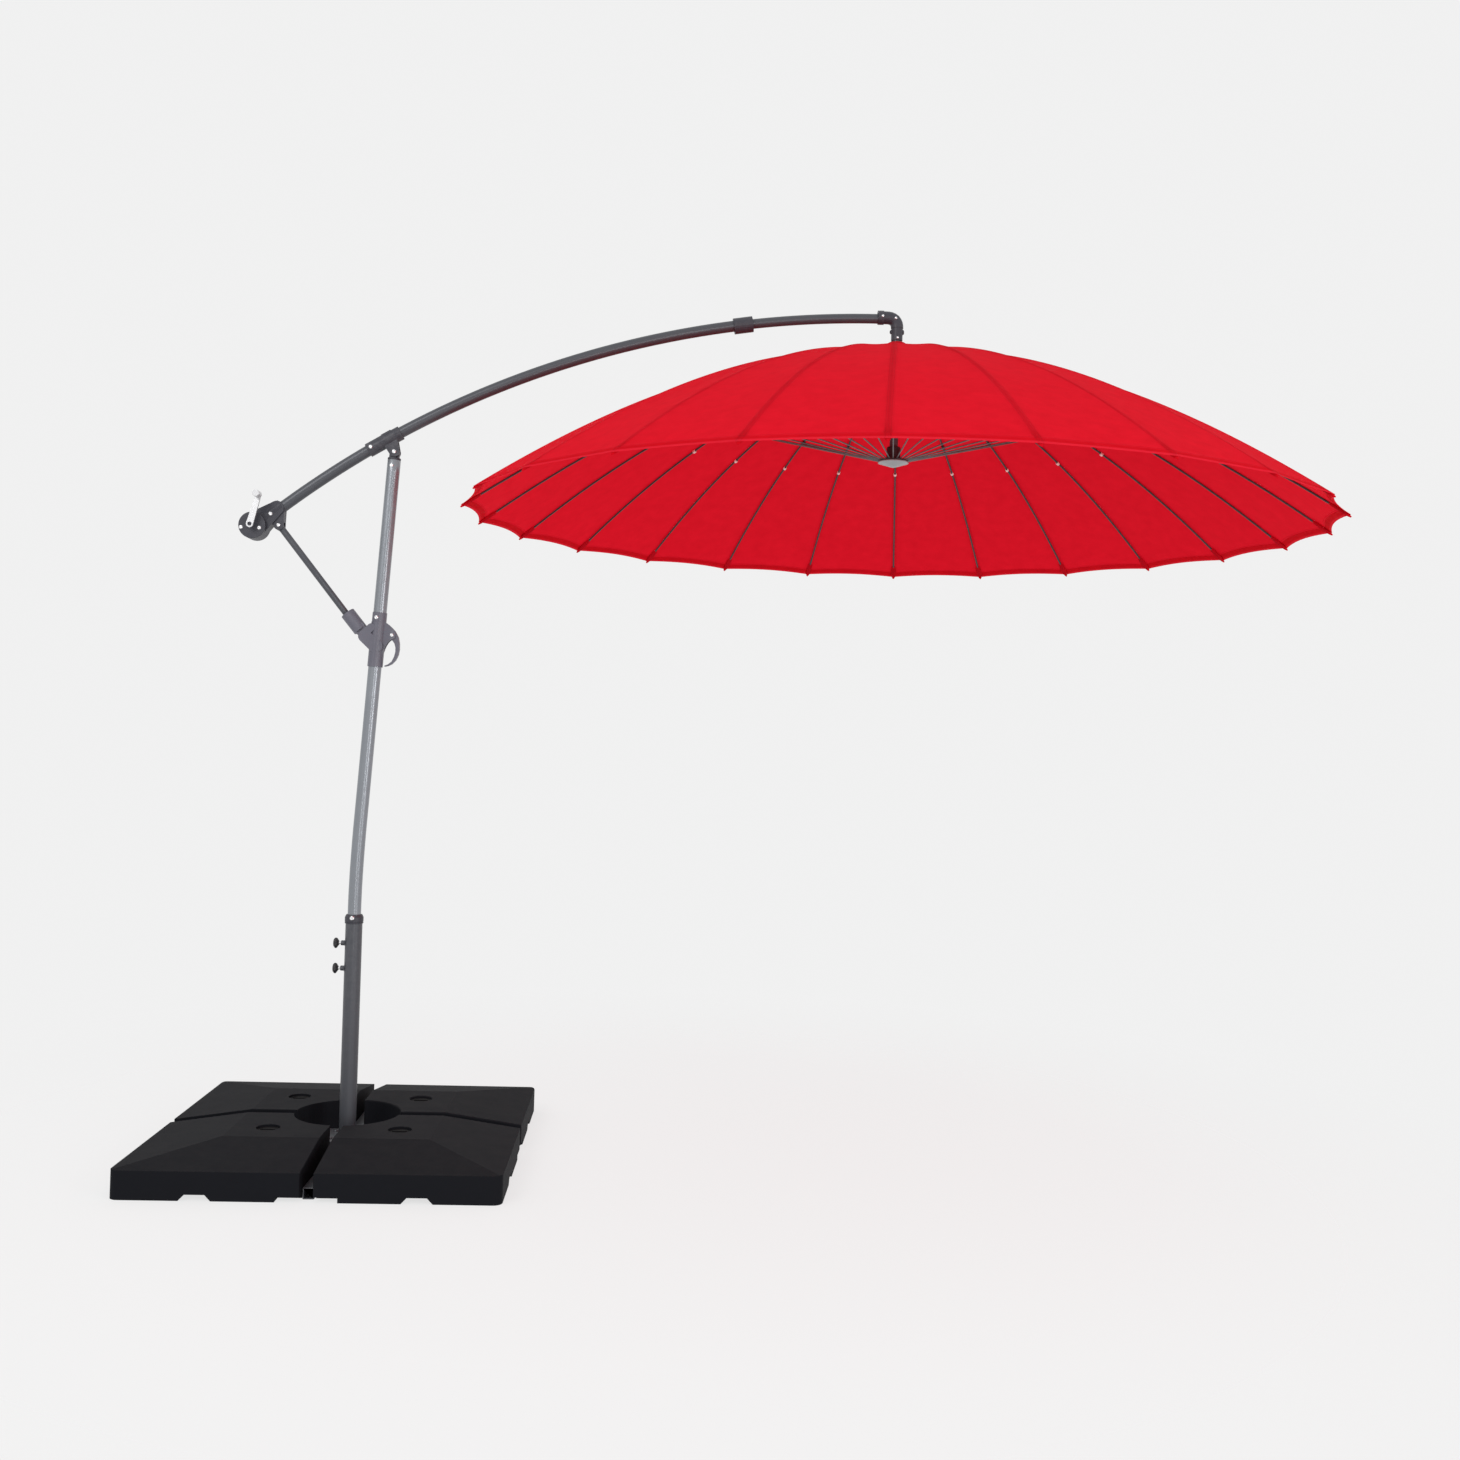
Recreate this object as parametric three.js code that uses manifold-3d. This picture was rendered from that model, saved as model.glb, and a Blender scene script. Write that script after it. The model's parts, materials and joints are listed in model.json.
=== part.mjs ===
// Cantilever patio umbrella with a slab-weighted cross base.
// Millimetres, +Z up, +X from the mast towards the canopy, origin on the ground under the mast.
import * as THREE from 'three';
import { mergeVertices } from 'three/addons/utils/BufferGeometryUtils.js';
import Module from 'manifold-3d';

const wasm = await Module();
wasm.setup();

// ---------------------------------------------------------------- driving dimensions
const gap = 0.4;                 // between pieces that touch
const slideFit = 0.6;            // radial play of a sliding or turning fit

const mast = { outer: 19, wall: 1.6, foot: 60, top: 2006, bendFrom: 690, bendTo: 910, lean: 0.06 };
const base = {
  width: 1000,                   // outer edge of the four slabs
  slabGap: 36,                   // between neighbouring slabs
  edgeHeight: 75,                // slab height at its outer edges
  crownHeight: 108,              // slab height on its flat crown
  crownReach: 278,               // from the mast axis to the end of the crown
  cornerRadius: 24,
  wellRadius: 150,               // round well that the four slabs leave at the centre
  notch: { width: 84, height: 16, depth: 55, from: 240 },
  heel: { width: 62, height: 14, depth: 40 },
  filler: { radius: 33, depth: 10, at: 181 },
};
const cross = { width: 30, height: 30, length: 940, wall: 3, plate: 190, plateThick: 6 };
const tubeInner = mast.outer + slideFit + 2;
const baseTube = {
  inner: tubeInner, outer: tubeInner + 2.4, flange: 80, flangeThick: 6, top: 668,
};
const collar = { outer: baseTube.outer + 2.5, bottom: 656, top: 682, lip: 4 };
const thumb = {
  heights: [598, 525], boss: 7.5, bossLength: 11, stem: 4,
  knob: 15.5, knobBack: 11, knobNose: 6.5, knobLength: 15, knobGap: 6, grip: 9, turnPlay: 0.4,
};

const mastPlug = { length: 55, rim: 6, tongueFoot: 14, tongueEnd: 14 };
const arm = { outer: 16, wall: 1.6, radius: 2950, endAngle: 0.7, startAngle: 39.93, inHousing: 38 };
const elbowAt = { x: 1535, z: 2486 };
const armEnd = { outer: 14, wall: 1.5, inElbow: 14 };
const pole = { outer: 12.5, wall: 1.4, top: 2474, bottom: 2066 };
const elbowDims = {
  sleeve: armEnd.outer + 6.5, leg: pole.outer + 4.5, legBottom: 2418, mouth: 57, shoulder: 40,
  bend: 31, bendRadius: armEnd.outer + 4.5,
};
const armCollar = { distance: 458, outer: arm.outer + 7, length: 56 };
const tilt = { z: 2029, pin: 4, pinHead: 3, tongue: 8, cheek: 6, radius: 15, clearance: 2 };
const tee = {
  outer: arm.outer + 4.5, centre: 1570, length: 108, cheekRoot: 24, cheekShift: 16, backStep: 1,
};
const crank = {
  radius: 38.5, half: 28, wall: 4.5, shaft: 5, cover: 4, drum: 18, drumHalf: 16, drumFlange: 3,
  throwX: 23, throwZ: 84, lever: 6, leverRoot: 10, leverTip: 7, reach: 24,
  post: 3, postLength: 30,
};
const grip = { radius: 10, length: 32, base: 0.4, bore: 30 };
const housing = {
  sleeve: arm.outer + 5, sleeveLength: 98, lugRoot: 22, lug: 14, lugAt: 84, lugWall: 5, swingRadius: 15,
  swingX: 90, swingZ: 60, neckAt: 84, neckHalf: 19,
};
const strut = {
  outer: 9.5, wall: 1.5, topX: -251, topZ: 1803, footX: 0, footZ: 1498,
  eye: 11, eyeHalf: 9, eyeBore: 3.4, inSocket: 20, boreFrom: 16,
};
const slider = {
  outer: mast.outer + 3, bottom: 1402, top: 1560, neck: 28, cheekGap: 15.6, cheek: 5, branch: 18.5,
  leverX: mast.outer + 23, leverZ: 1495, leverHalf: 8, finWall: 3.6, branchFrom: 48, neckStep: 1.2,
  web: { x: 9.8, z: 2.2, radius: 12, endX: 25, endZ: 18, endRadius: 11 },
};
const socket = {
  length: 75, outer: strut.outer + 11.5, foot: 12, freeEnd: 13, pivotPlay: 5.5, seat: 18, tongueStep: 2.5,
};

const canopy = {
  x: 1536, rimZ: 1862, radius: 1251, rise: 503, curve: 1.78,
  ribs: 24, phase: 5.7, thick: 1.6, scallop: 0.012, hole: pole.outer + 2.5,
};
const rib = { radius: 3, pivotRadius: 38, tail: 2.5, tipInset: 9 };
const capRing = {
  radius: 66, waist: 37, waistShare: 0.72, lift: 1, height: 42, collar: pole.outer + 4.5, wall: 3,
};
const hub = {
  radius: rib.pivotRadius + 3, thick: 12, bore: pole.outer + 0.7, slotPast: 5, overPivot: 1,
};
const runner = {
  z: 2058, radius: 36.5, thick: 11, rimRadius: 45.5, rim: 4, cone: 11, floor: 3,
  sleeve: pole.outer + 8, sleeveTop: 2102,
};
const stretcher = {
  radius: 2, share: 0.49, ring: 3, ringHalf: 1.6, ringOver: 4, tipGap: 3, tipDrop: 1,
};
const clothOverRib = 1.1;         // from the top of a rib to the underside of the cloth
const through = 40;               // how far a cutting tool runs past what it cuts

// ---------------------------------------------------------------- materials
const paint = (color, roughness, metalness) =>
  new THREE.MeshStandardMaterial({ color, roughness, metalness });
const anthracite = paint(0x4a4a50, 0.45, 0.6);
const plastic = paint(0x2e2d33, 0.55, 0);
const slabBlack = paint(0x25262a, 0.7, 0);
const cloth = paint(0xcc1b2d, 0.85, 0);
const steel = paint(0xb9bbbe, 0.35, 0.9);
const paleGrey = paint(0xb5b3ae, 0.5, 0);

// ---------------------------------------------------------------- solids
const rad = THREE.MathUtils.degToRad;
const vec = (x, y, z) => new THREE.Vector3(x, y, z);
const xz = (p) => [p.x, p.z];

function solidOf(geometry) {
  const bare = geometry.clone();
  bare.deleteAttribute('normal');
  bare.deleteAttribute('uv');
  const merged = mergeVertices(bare, 1e-3);
  return new wasm.Manifold(new wasm.Mesh({
    numProp: 3,
    vertProperties: new Float32Array(merged.attributes.position.array),
    triVerts: new Uint32Array(merged.index.array),
  }));
}

function geometryOf(solid) {
  const mesh = solid.getMesh();
  const geometry = new THREE.BufferGeometry();
  geometry.setAttribute('position', new THREE.BufferAttribute(mesh.vertProperties, 3));
  geometry.setIndex(new THREE.BufferAttribute(mesh.triVerts, 1));
  return geometry;
}

const join = (...bodies) => geometryOf(bodies.map(solidOf).reduce((a, b) => a.add(b)));
const cut = (body, ...tools) =>
  geometryOf(tools.map(solidOf).reduce((a, b) => a.subtract(b), solidOf(body)));
const common = (...bodies) => geometryOf(bodies.map(solidOf).reduce((a, b) => a.intersect(b)));

function box(x0, x1, y0, y1, z0, z1) {
  const geometry = new THREE.BoxGeometry(x1 - x0, y1 - y0, z1 - z0);
  return geometry.translate((x0 + x1) / 2, (y0 + y1) / 2, (z0 + z1) / 2);
}

// A round bar from a to b; endRadius makes it a cone.
function rod(a, b, radius, sides = 20, endRadius = radius) {
  const along = b.clone().sub(a);
  const geometry = new THREE.CylinderGeometry(endRadius, radius, along.length(), sides);
  const turn = new THREE.Quaternion().setFromUnitVectors(vec(0, 1, 0), along.normalize());
  const middle = a.clone().add(b).multiplyScalar(0.5);
  return geometry.applyQuaternion(turn).translate(middle.x, middle.y, middle.z);
}

const pin = (x, z, radius, y0, y1, sides = 16) => rod(vec(x, y0, z), vec(x, y1, z), radius, sides);

// A ring or disc turned round +Z from a closed outline of [radius, z] points.
function turned(outline, sides = 24) {
  const points = outline.map(([r, z]) => new THREE.Vector2(r, z));
  return new THREE.LatheGeometry(points, sides).rotateX(Math.PI / 2);
}

const ring = (inner, outer, z0, z1, sides = 24) =>
  turned([[inner, z0], [outer, z0], [outer, z1], [inner, z1], [inner, z0]], sides);

// A plate cut from an outline drawn in X and Z, between y0 and y1.
function plate(shape, y0, y1, curveSegments = 5) {
  const geometry = new THREE.ExtrudeGeometry(
    shape, { depth: y1 - y0, bevelEnabled: false, curveSegments });
  return geometry.rotateX(Math.PI / 2).translate(0, y1, 0);
}

// The outline of a bar with round ends of two radii.
function stadium(x0, z0, x1, z1, r0, r1 = r0) {
  const angle = Math.atan2(z1 - z0, x1 - x0);
  const shape = new THREE.Shape();
  shape.absarc(x0, z0, r0, angle + Math.PI / 2, angle + 3 * Math.PI / 2, false);
  shape.absarc(x1, z1, r1, angle - Math.PI / 2, angle + Math.PI / 2, false);
  shape.closePath();
  return shape;
}

// A tube, or a bar when inner is 0, along a curve.
function tubeAlong(curve, steps, outer, inner = 0, curveSegments = 9) {
  const section = new THREE.Shape().absarc(0, 0, outer, 0, 2 * Math.PI, false);
  if (inner > 0) section.holes.push(new THREE.Path().absarc(0, 0, inner, 0, 2 * Math.PI, true));
  return new THREE.ExtrudeGeometry(section, { steps, extrudePath: curve, curveSegments });
}

// ---------------------------------------------------------------- curves of the frame
// The mast stands upright in the base tube, bends a little above it and leans from there on.
function mastX(z) {
  const bend = mast.bendTo - mast.bendFrom;
  if (z <= mast.bendFrom) return 0;
  if (z >= mast.bendTo) return mast.lean * (z - mast.bendFrom - bend / 2);
  return mast.lean * (z - mast.bendFrom) ** 2 / (2 * bend);
}

class MastLine extends THREE.Curve {
  constructor(z0, z1) {
    super();
    this.z0 = z0;
    this.z1 = z1;
  }

  getPoint(t, target = vec(0, 0, 0)) {
    const z = THREE.MathUtils.lerp(this.z0, this.z1, t);
    return target.set(mastX(z), 0, z);
  }
}

// The arm is one long arc; distances along it are measured back from the elbow.
class ArmArc extends THREE.Curve {
  constructor(s0, s1) {
    super();
    this.s0 = s0;
    this.s1 = s1;
  }

  getPoint(t, target = vec(0, 0, 0)) {
    const p = armPoint(THREE.MathUtils.lerp(this.s0, this.s1, t));
    return target.set(p.x, 0, p.z);
  }
}

const armAngle = (s) => rad(arm.endAngle) + s / arm.radius;
function armPoint(s) {
  const centreX = elbowAt.x + arm.radius * Math.sin(rad(arm.endAngle));
  const centreZ = elbowAt.z - arm.radius * Math.cos(rad(arm.endAngle));
  const angle = armAngle(s);
  return { x: centreX - arm.radius * Math.sin(angle), z: centreZ + arm.radius * Math.cos(angle) };
}
// A point a height above the arm's centre line, square to it.
function besideArm(s, height) {
  const p = armPoint(s);
  const angle = armAngle(s);
  return { x: p.x - height * Math.sin(angle), z: p.z + height * Math.cos(angle) };
}
const armLength = arm.radius * rad(arm.startAngle - arm.endAngle);
const tiltX = mastX(tilt.z);

// Height of a rib over the rim plane at a share of the canopy's radius.
const riseAt = (share) => canopy.rise * (1 - share ** canopy.curve);
const slopeAt = (share) => canopy.rise * canopy.curve * share ** (canopy.curve - 1) / canopy.radius;

// ---------------------------------------------------------------- base
function slab(quarter) {
  const inner = base.slabGap / 2;
  const outer = base.width / 2;
  const r = base.cornerRadius;
  const plan = new THREE.Shape();
  const start = Math.sqrt(base.wellRadius ** 2 - inner ** 2);
  const swing = Math.asin(inner / base.wellRadius);
  plan.moveTo(start, inner);
  plan.lineTo(outer, inner);
  plan.lineTo(outer, outer - r);
  plan.absarc(outer - r, outer - r, r, 0, Math.PI / 2, false);
  plan.lineTo(inner, outer);
  plan.lineTo(inner, start);
  plan.absarc(0, 0, base.wellRadius, Math.PI / 2 - swing, swing, true);
  const block = new THREE.ExtrudeGeometry(
    plan, { depth: base.crownHeight, bevelEnabled: false, curveSegments: 8 });

  const roof = new THREE.Shape();
  roof.moveTo(-1, -1);
  roof.lineTo(outer + 1, -1);
  roof.lineTo(outer + 1, base.edgeHeight);
  roof.lineTo(base.crownReach, base.crownHeight);
  roof.lineTo(-1, base.crownHeight);
  roof.closePath();
  const alongY = plate(roof, -1, outer + 1);
  const alongX = alongY.clone().rotateZ(Math.PI / 2).translate(outer, 0, 0);

  const { notch, heel, filler } = base;
  const fingers = new THREE.Shape();
  fingers.moveTo(notch.from, -1);
  fingers.lineTo(notch.from + notch.width, -1);
  fingers.lineTo(notch.from + notch.width - notch.height, notch.height);
  fingers.lineTo(notch.from + notch.height, notch.height);
  fingers.closePath();
  const sideNotch = plate(fingers, outer - notch.depth, outer + 1);
  const otherNotch = sideNotch.clone().rotateZ(-Math.PI / 2)
    .translate(0, 2 * notch.from + notch.width, 0);
  const heelY = box(inner - 1, inner + heel.width, outer - heel.depth, outer + 1, -1, heel.height);
  const heelX = box(outer - heel.depth, outer + 1, inner - 1, inner + heel.width, -1, heel.height);
  const well = rod(vec(filler.at, filler.at, base.crownHeight - filler.depth),
    vec(filler.at, filler.at, base.crownHeight + 1), filler.radius);
  const shaped = common(block, alongY, alongX);
  return cut(shaped, sideNotch, otherNotch, heelY, heelX, well).rotateZ(quarter * Math.PI / 2);
}

function hollowBar(x0, x1, top = cross.height) {
  const { width, wall } = cross;
  const outside = box(x0, x1, -width / 2, width / 2, 0, top);
  const inside = box(x0 - 1, x1 + 1, -width / 2 + wall, width / 2 - wall, wall, top - wall);
  return cut(outside, inside);
}

function crossBeam() {
  const { plate: size, plateThick, height, length } = cross;
  const top = height + plateThick;
  const square = box(-size / 2, size / 2, -size / 2, size / 2, height, top);
  return join(hollowBar(-length / 2, length / 2), square);
}

// The legs butt against the beam's sides, under the same plate.
const crossLeg = (sign) =>
  hollowBar(cross.width / 2 + gap, cross.length / 2, cross.height - gap).rotateZ(sign * Math.PI / 2);

function baseTubeSolid() {
  const foot = cross.height + cross.plateThick + gap;
  const { outer, inner, flange, flangeThick, top } = baseTube;
  const wallOutline = [[inner, foot], [flange, foot], [flange, foot + flangeThick],
    [outer, foot + flangeThick], [outer, top], [inner, top], [inner, foot]];
  const bosses = thumb.heights.map((z) =>
    rod(vec(-outer - thumb.bossLength, 0, z), vec(-inner - 1, 0, z), thumb.boss, 16));
  const bores = thumb.heights.map((z) =>
    rod(vec(-outer - through, 0, z), vec(0, 0, z), thumb.stem + gap, 16));
  return cut(join(turned(wallOutline), ...bosses), ...bores);
}

function tubeCollar() {
  const inside = mast.outer + slideFit;
  const { outer, bottom, top, lip } = collar;
  const seat = baseTube.top + gap;
  return turned([[baseTube.outer + gap, bottom], [outer, bottom], [outer, top - lip],
    [outer - lip / 2, top], [inside, top], [inside, seat],
    [baseTube.outer + gap, seat], [baseTube.outer + gap, bottom]]);
}

const knobFace = baseTube.outer + thumb.bossLength + thumb.knobGap;
const stemEnd = knobFace + thumb.grip;
const thumbStem = (z) => rod(vec(-stemEnd, 0, z), vec(-mast.outer - slideFit, 0, z), thumb.stem, 16);
function thumbKnob(z) {
  const { knob, knobBack, knobNose, knobLength, stem, grip: depth, turnPlay } = thumb;
  const bore = stem + turnPlay;
  const outline = [[bore, 0], [knobNose, 0], [knob, knobLength * 0.42], [knob, knobLength * 0.72],
    [knobBack, knobLength], [0, knobLength], [0, depth + turnPlay], [bore, depth + turnPlay], [bore, 0]];
  return turned(outline, 21).rotateY(-Math.PI / 2).translate(-knobFace, 0, z);
}

// ---------------------------------------------------------------- mast and its top
const mastTube = () =>
  tubeAlong(new MastLine(mast.foot, mast.top), 14, mast.outer, mast.outer - mast.wall);

function mastCap() {
  const { length, rim: rimHeight, tongueFoot, tongueEnd } = mastPlug;
  const inner = mast.outer - mast.wall - gap;
  const at = (z) => vec(mastX(z), 0, z);
  const plug = rod(at(mast.top - length), at(mast.top + 1), inner);
  const rim = rod(at(mast.top + gap), at(mast.top + rimHeight), mast.outer, 24);
  const tongue = plate(
    stadium(mastX(mast.top), mast.top + rimHeight - 1, tiltX, tilt.z, tongueFoot, tongueEnd),
    -tilt.tongue, tilt.tongue);
  return cut(join(plug, rim, tongue),
    pin(tiltX, tilt.z, tilt.pin + slideFit, -through, through));
}

const cheekOuter = tilt.tongue + slideFit + tilt.cheek;
const tiltPin = () =>
  pin(tiltX, tilt.z, tilt.pin, -cheekOuter - tilt.pinHead, cheekOuter + tilt.pinHead);

function teeSleeve() {
  const half = tee.length / 2;
  const sleeve = tubeAlong(new ArmArc(tee.centre + half, tee.centre - half), 4,
    tee.outer, arm.outer + gap, 12);
  const root = armPoint(tee.centre - tee.cheekShift);
  const bore = tubeAlong(new ArmArc(tee.centre + half + through, tee.centre - half - through), 4,
    arm.outer + gap, 0, 12);
  const above = new THREE.Shape();
  const back = tee.outer - tee.backStep;
  above.moveTo(...xz(besideArm(tee.centre + half, back)));
  above.lineTo(...xz(besideArm(tee.centre - half, back)));
  above.lineTo(...xz(besideArm(tee.centre - half, back + through)));
  above.lineTo(...xz(besideArm(tee.centre + half, back + through)));
  above.closePath();
  const cheek = (y0, y1) => cut(
    plate(stadium(root.x, root.z, tiltX, tilt.z, tee.cheekRoot, tilt.radius), y0, y1, 8),
    pin(tiltX, tilt.z, tilt.pin + gap, -through, through), bore,
    plate(above, -through, through));
  const near = tilt.tongue + slideFit;
  const clearance = plate(
    stadium(tiltX, tilt.z, tiltX, tilt.z - through, tilt.radius + tilt.clearance), -near, near);
  return cut(join(sleeve, cheek(near, cheekOuter), cheek(-cheekOuter, -near)), clearance);
}

// ---------------------------------------------------------------- slider, lever and strut
const onMast = (z) => vec(mastX(z), 0, z);

const strutTop = vec(strut.topX, 0, strut.topZ);
const strutFoot = vec(strut.footX, 0, strut.footZ);
const downStrut = strutFoot.clone().sub(strutTop).normalize();
const onStrut = (fromTop) => strutTop.clone().addScaledVector(downStrut, fromTop);
const strutLength = strutTop.distanceTo(strutFoot);

// The fin beside the barrel and the crescent lever, as offsets in X and Z from the lever's pivot.
const finEdge = [[-21, 37], [-11, 30], [-1, 21], [8, 11], [11, 0], [7, -9], [-4, -14], [-12, -22],
  [-20, -37], [-27, -59]];
const leverOuter = [[-9, 7], [0, 13], [12, 8], [20, -12], [22, -32], [21, -50], [15, -68], [4, -82],
  [-8, -89], [-20, -92]];
const leverInner = [[-20, -89], [-8, -84], [3, -73], [9, -56], [11, -42], [9, -28], [3, -17], [-6, -11],
  [-12, -3]];
const pivotX = mastX(slider.leverZ) + slider.leverX;
const offset = ([x, z]) => new THREE.Vector2(pivotX + x, slider.leverZ + z);

function sliderSleeve() {
  const { outer, bottom, top, neck, neckStep, cheekGap, cheek, branch, leverHalf, finWall, web } = slider;
  const barrel = rod(onMast(bottom), onMast(top - neck), outer, 32);
  const shoulder = rod(onMast(top - neck - 1), onMast(top), outer - neckStep, 32);
  const branchEnd = onStrut(strutLength + branch - socket.freeEnd + socket.pivotPlay);
  const root = onStrut(strutLength + slider.branchFrom);
  const lug = (y0, y1) => plate(
    stadium(root.x + 8, root.z + 2, branchEnd.x, branchEnd.z, branch + 2, branch), y0, y1, 8);
  const corner = (y0, y1) => plate(
    stadium(strut.footX + web.x, strut.footZ + web.z, strut.footX + web.endX, strut.footZ + web.endZ,
      web.radius, web.endRadius), y0, y1, 8);
  const fin = new THREE.Shape();
  fin.moveTo(mastX(bottom + 40), bottom + 40);
  fin.lineTo(mastX(top), top - neck);
  fin.lineTo(...offset(finEdge[0]).toArray());
  fin.splineThru(finEdge.slice(1).map(offset));
  fin.closePath();
  const near = leverHalf + gap;
  const body = join(barrel, shoulder, lug(cheekGap, cheekGap + cheek),
    lug(-cheekGap - cheek, -cheekGap), corner(cheekGap, cheekGap + cheek),
    corner(-cheekGap - cheek, -cheekGap), plate(fin, near, near + finWall, 2),
    plate(fin, -near - finWall, -near, 2));
  return cut(body, rod(onMast(bottom - through), onMast(top + through), mast.outer + slideFit, 32));
}

function sliderLever() {
  const outline = new THREE.Shape();
  outline.moveTo(...offset(leverOuter[0]).toArray());
  outline.splineThru(leverOuter.slice(1).map(offset));
  outline.lineTo(...offset(leverInner[0]).toArray());
  outline.splineThru(leverInner.slice(1).map(offset));
  outline.closePath();
  return plate(outline, -slider.leverHalf, slider.leverHalf, 1);
}

function strutTube() {
  const { outer, wall, topX, topZ, eye, eyeHalf, eyeBore, inSocket, boreFrom } = strut;
  const tube = rod(onStrut(0), onStrut(strutLength - inSocket), outer);
  const barrel = pin(topX, topZ, eye, -eyeHalf, eyeHalf, 24);
  const bore = rod(onStrut(boreFrom), onStrut(strutLength), outer - wall);
  return cut(join(tube, barrel), bore, pin(topX, topZ, eyeBore, -through, through));
}

function strutSocket() {
  const { length, outer, foot, freeEnd, seat, tongueStep } = socket;
  const mouth = strutLength - length;
  const sleeve = rod(onStrut(mouth), onStrut(strutLength - freeEnd), outer, 32);
  const tongue = plate(stadium(...xz(onStrut(strutLength - freeEnd - 4)), strut.footX, strut.footZ,
    outer - tongueStep, foot), -slider.cheekGap + gap, slider.cheekGap - gap, 8);
  const bore = rod(onStrut(mouth - 5), onStrut(strutLength - seat), strut.outer + gap);
  return cut(join(sleeve, tongue), bore);
}

// ---------------------------------------------------------------- arm
const collarAt = armCollar.distance;
const armTube = () => tubeAlong(
  new ArmArc(armLength - arm.inHousing, collarAt), 20, arm.outer, arm.outer - arm.wall, 12);
const armEndTube = () => tubeAlong(
  new ArmArc(collarAt - gap, armEnd.inElbow), 7, armEnd.outer, armEnd.outer - armEnd.wall, 12);

function armCollarSolid() {
  const half = armCollar.length / 2;
  const body = tubeAlong(new ArmArc(collarAt + half, collarAt - half), 2, armCollar.outer, 0, 12);
  const forArm = tubeAlong(
    new ArmArc(collarAt + half + 5, collarAt - gap), 2, arm.outer + gap, 0, 12);
  const forEnd = tubeAlong(new ArmArc(collarAt, collarAt - half - 5), 2, armEnd.outer + gap, 0, 12);
  return cut(body, forArm, forEnd);
}

function elbow() {
  const { sleeve: outer, leg: legRadius, legBottom, mouth, shoulder, bend, bendRadius } = elbowDims;
  const sleeve = tubeAlong(new ArmArc(mouth, shoulder), 2, outer, 0, 12);
  const neck = tubeAlong(new ArmArc(shoulder + 1, bend - 1), 2, bendRadius, 0, 12);
  const start = armPoint(bend);
  const turn = tubeAlong(new THREE.QuadraticBezierCurve3(
    vec(start.x, 0, start.z), vec(canopy.x, 0, elbowAt.z), vec(canopy.x, 0, elbowAt.z - bend)),
  8, bendRadius, 0, 12);
  const leg = rod(
    vec(canopy.x, 0, legBottom), vec(canopy.x, 0, elbowAt.z - bend + 1), legRadius, 24);
  const forArm = tubeAlong(
    new ArmArc(mouth + 5, armEnd.inElbow - gap), 2, armEnd.outer + gap, 0, 12);
  const forPole = rod(
    vec(canopy.x, 0, legBottom - 5), vec(canopy.x, 0, pole.top + gap), pole.outer + gap, 24);
  return cut(join(sleeve, neck, turn, leg), forArm, forPole);
}

const crankCentre = armPoint(armLength);
function crankHousing() {
  const { radius, half, wall } = crank;
  const { sleeve, sleeveLength, lugRoot, lug, lugAt, lugWall, swingRadius, swingX, swingZ,
    neckAt, neckHalf } = housing;
  const { topX, topZ, eyeHalf, eyeBore } = strut;
  const { x, z } = crankCentre;
  const drumCase = pin(x, z, radius, -half, half, 36);
  const holder = tubeAlong(new ArmArc(armLength, armLength - sleeveLength), 3, sleeve, 0, 12);
  const neck = plate(stadium(x, z, ...xz(armPoint(armLength - neckAt)), radius, sleeve),
    -neckHalf, neckHalf, 10);
  const near = eyeHalf + slideFit;
  const web = plate(stadium(...xz(armPoint(armLength - lugAt)), topX, topZ, lugRoot, lug),
    -near - lugWall, near + lugWall, 8);
  const armBore = tubeAlong(
    new ArmArc(armLength - arm.inHousing + gap, armLength - sleeveLength - through), 3,
    arm.outer + gap, 0, 12);
  const cavity = pin(x, z, radius - wall, -half - 1, half - wall, 36);
  const swing = plate(stadium(topX, topZ, topX + swingX, topZ - swingZ, swingRadius), -near, near);
  const down = plate(stadium(topX, topZ, topX, topZ - swingZ, swingRadius), -near, near);
  return cut(join(drumCase, holder, neck, web), cavity, armBore, swing, down,
    pin(topX, topZ, eyeBore, -through, through));
}

const coverFace = -crank.half - crank.cover;
function crankCover() {
  const { radius, half, wall, shaft } = crank;
  const { x, z } = crankCentre;
  const rim = pin(x, z, radius, coverFace, -half - gap, 36);
  const spigot = pin(x, z, radius - wall - gap, -half - 1, -half + 3, 36);
  return cut(join(rim, spigot), pin(x, z, shaft + gap, -through, through));
}

const postX = crankCentre.x + crank.throwX;
const postZ = crankCentre.z + crank.throwZ;
const leverBack = coverFace - crank.reach;
function crankHandle() {
  const { half, shaft, lever, leverRoot, leverTip, wall, post, postLength } = crank;
  const { x, z } = crankCentre;
  const axle = pin(x, z, shaft, leverBack, half - wall - 1 - gap);
  const bar = plate(stadium(x, z, postX, postZ, leverRoot, leverTip), leverBack, leverBack + lever, 8);
  const spindle = pin(postX, postZ, post, leverBack - postLength, leverBack + 1, 12);
  return join(axle, bar, spindle);
}

function crankKnob() {
  const near = leverBack - grip.base;
  const body = pin(postX, postZ, grip.radius, near - grip.length, near, 24);
  return cut(body, pin(postX, postZ, crank.post + gap, near - grip.bore, near + 1, 12));
}

function drum() {
  const { radius, wall, half, drum: core, drumHalf, drumFlange, shaft } = crank;
  const { x, z } = crankCentre;
  const middle = pin(x, z, core, -drumHalf, drumHalf);
  const sides = [[-drumHalf - drumFlange, -drumHalf + 1], [drumHalf - 1, drumHalf + drumFlange]]
    .map(([y0, y1]) => pin(x, z, radius - wall - drumFlange, y0, y1, 32));
  return cut(join(middle, ...sides), pin(x, z, shaft + gap, -half, half));
}

// ---------------------------------------------------------------- canopy frame
const poleTube = () =>
  ring(pole.outer - pole.wall, pole.outer, pole.bottom, pole.top, 24).translate(canopy.x, 0, 0);
const ribAngle = (k) => rad(canopy.phase + 360 / canopy.ribs * k);

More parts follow.
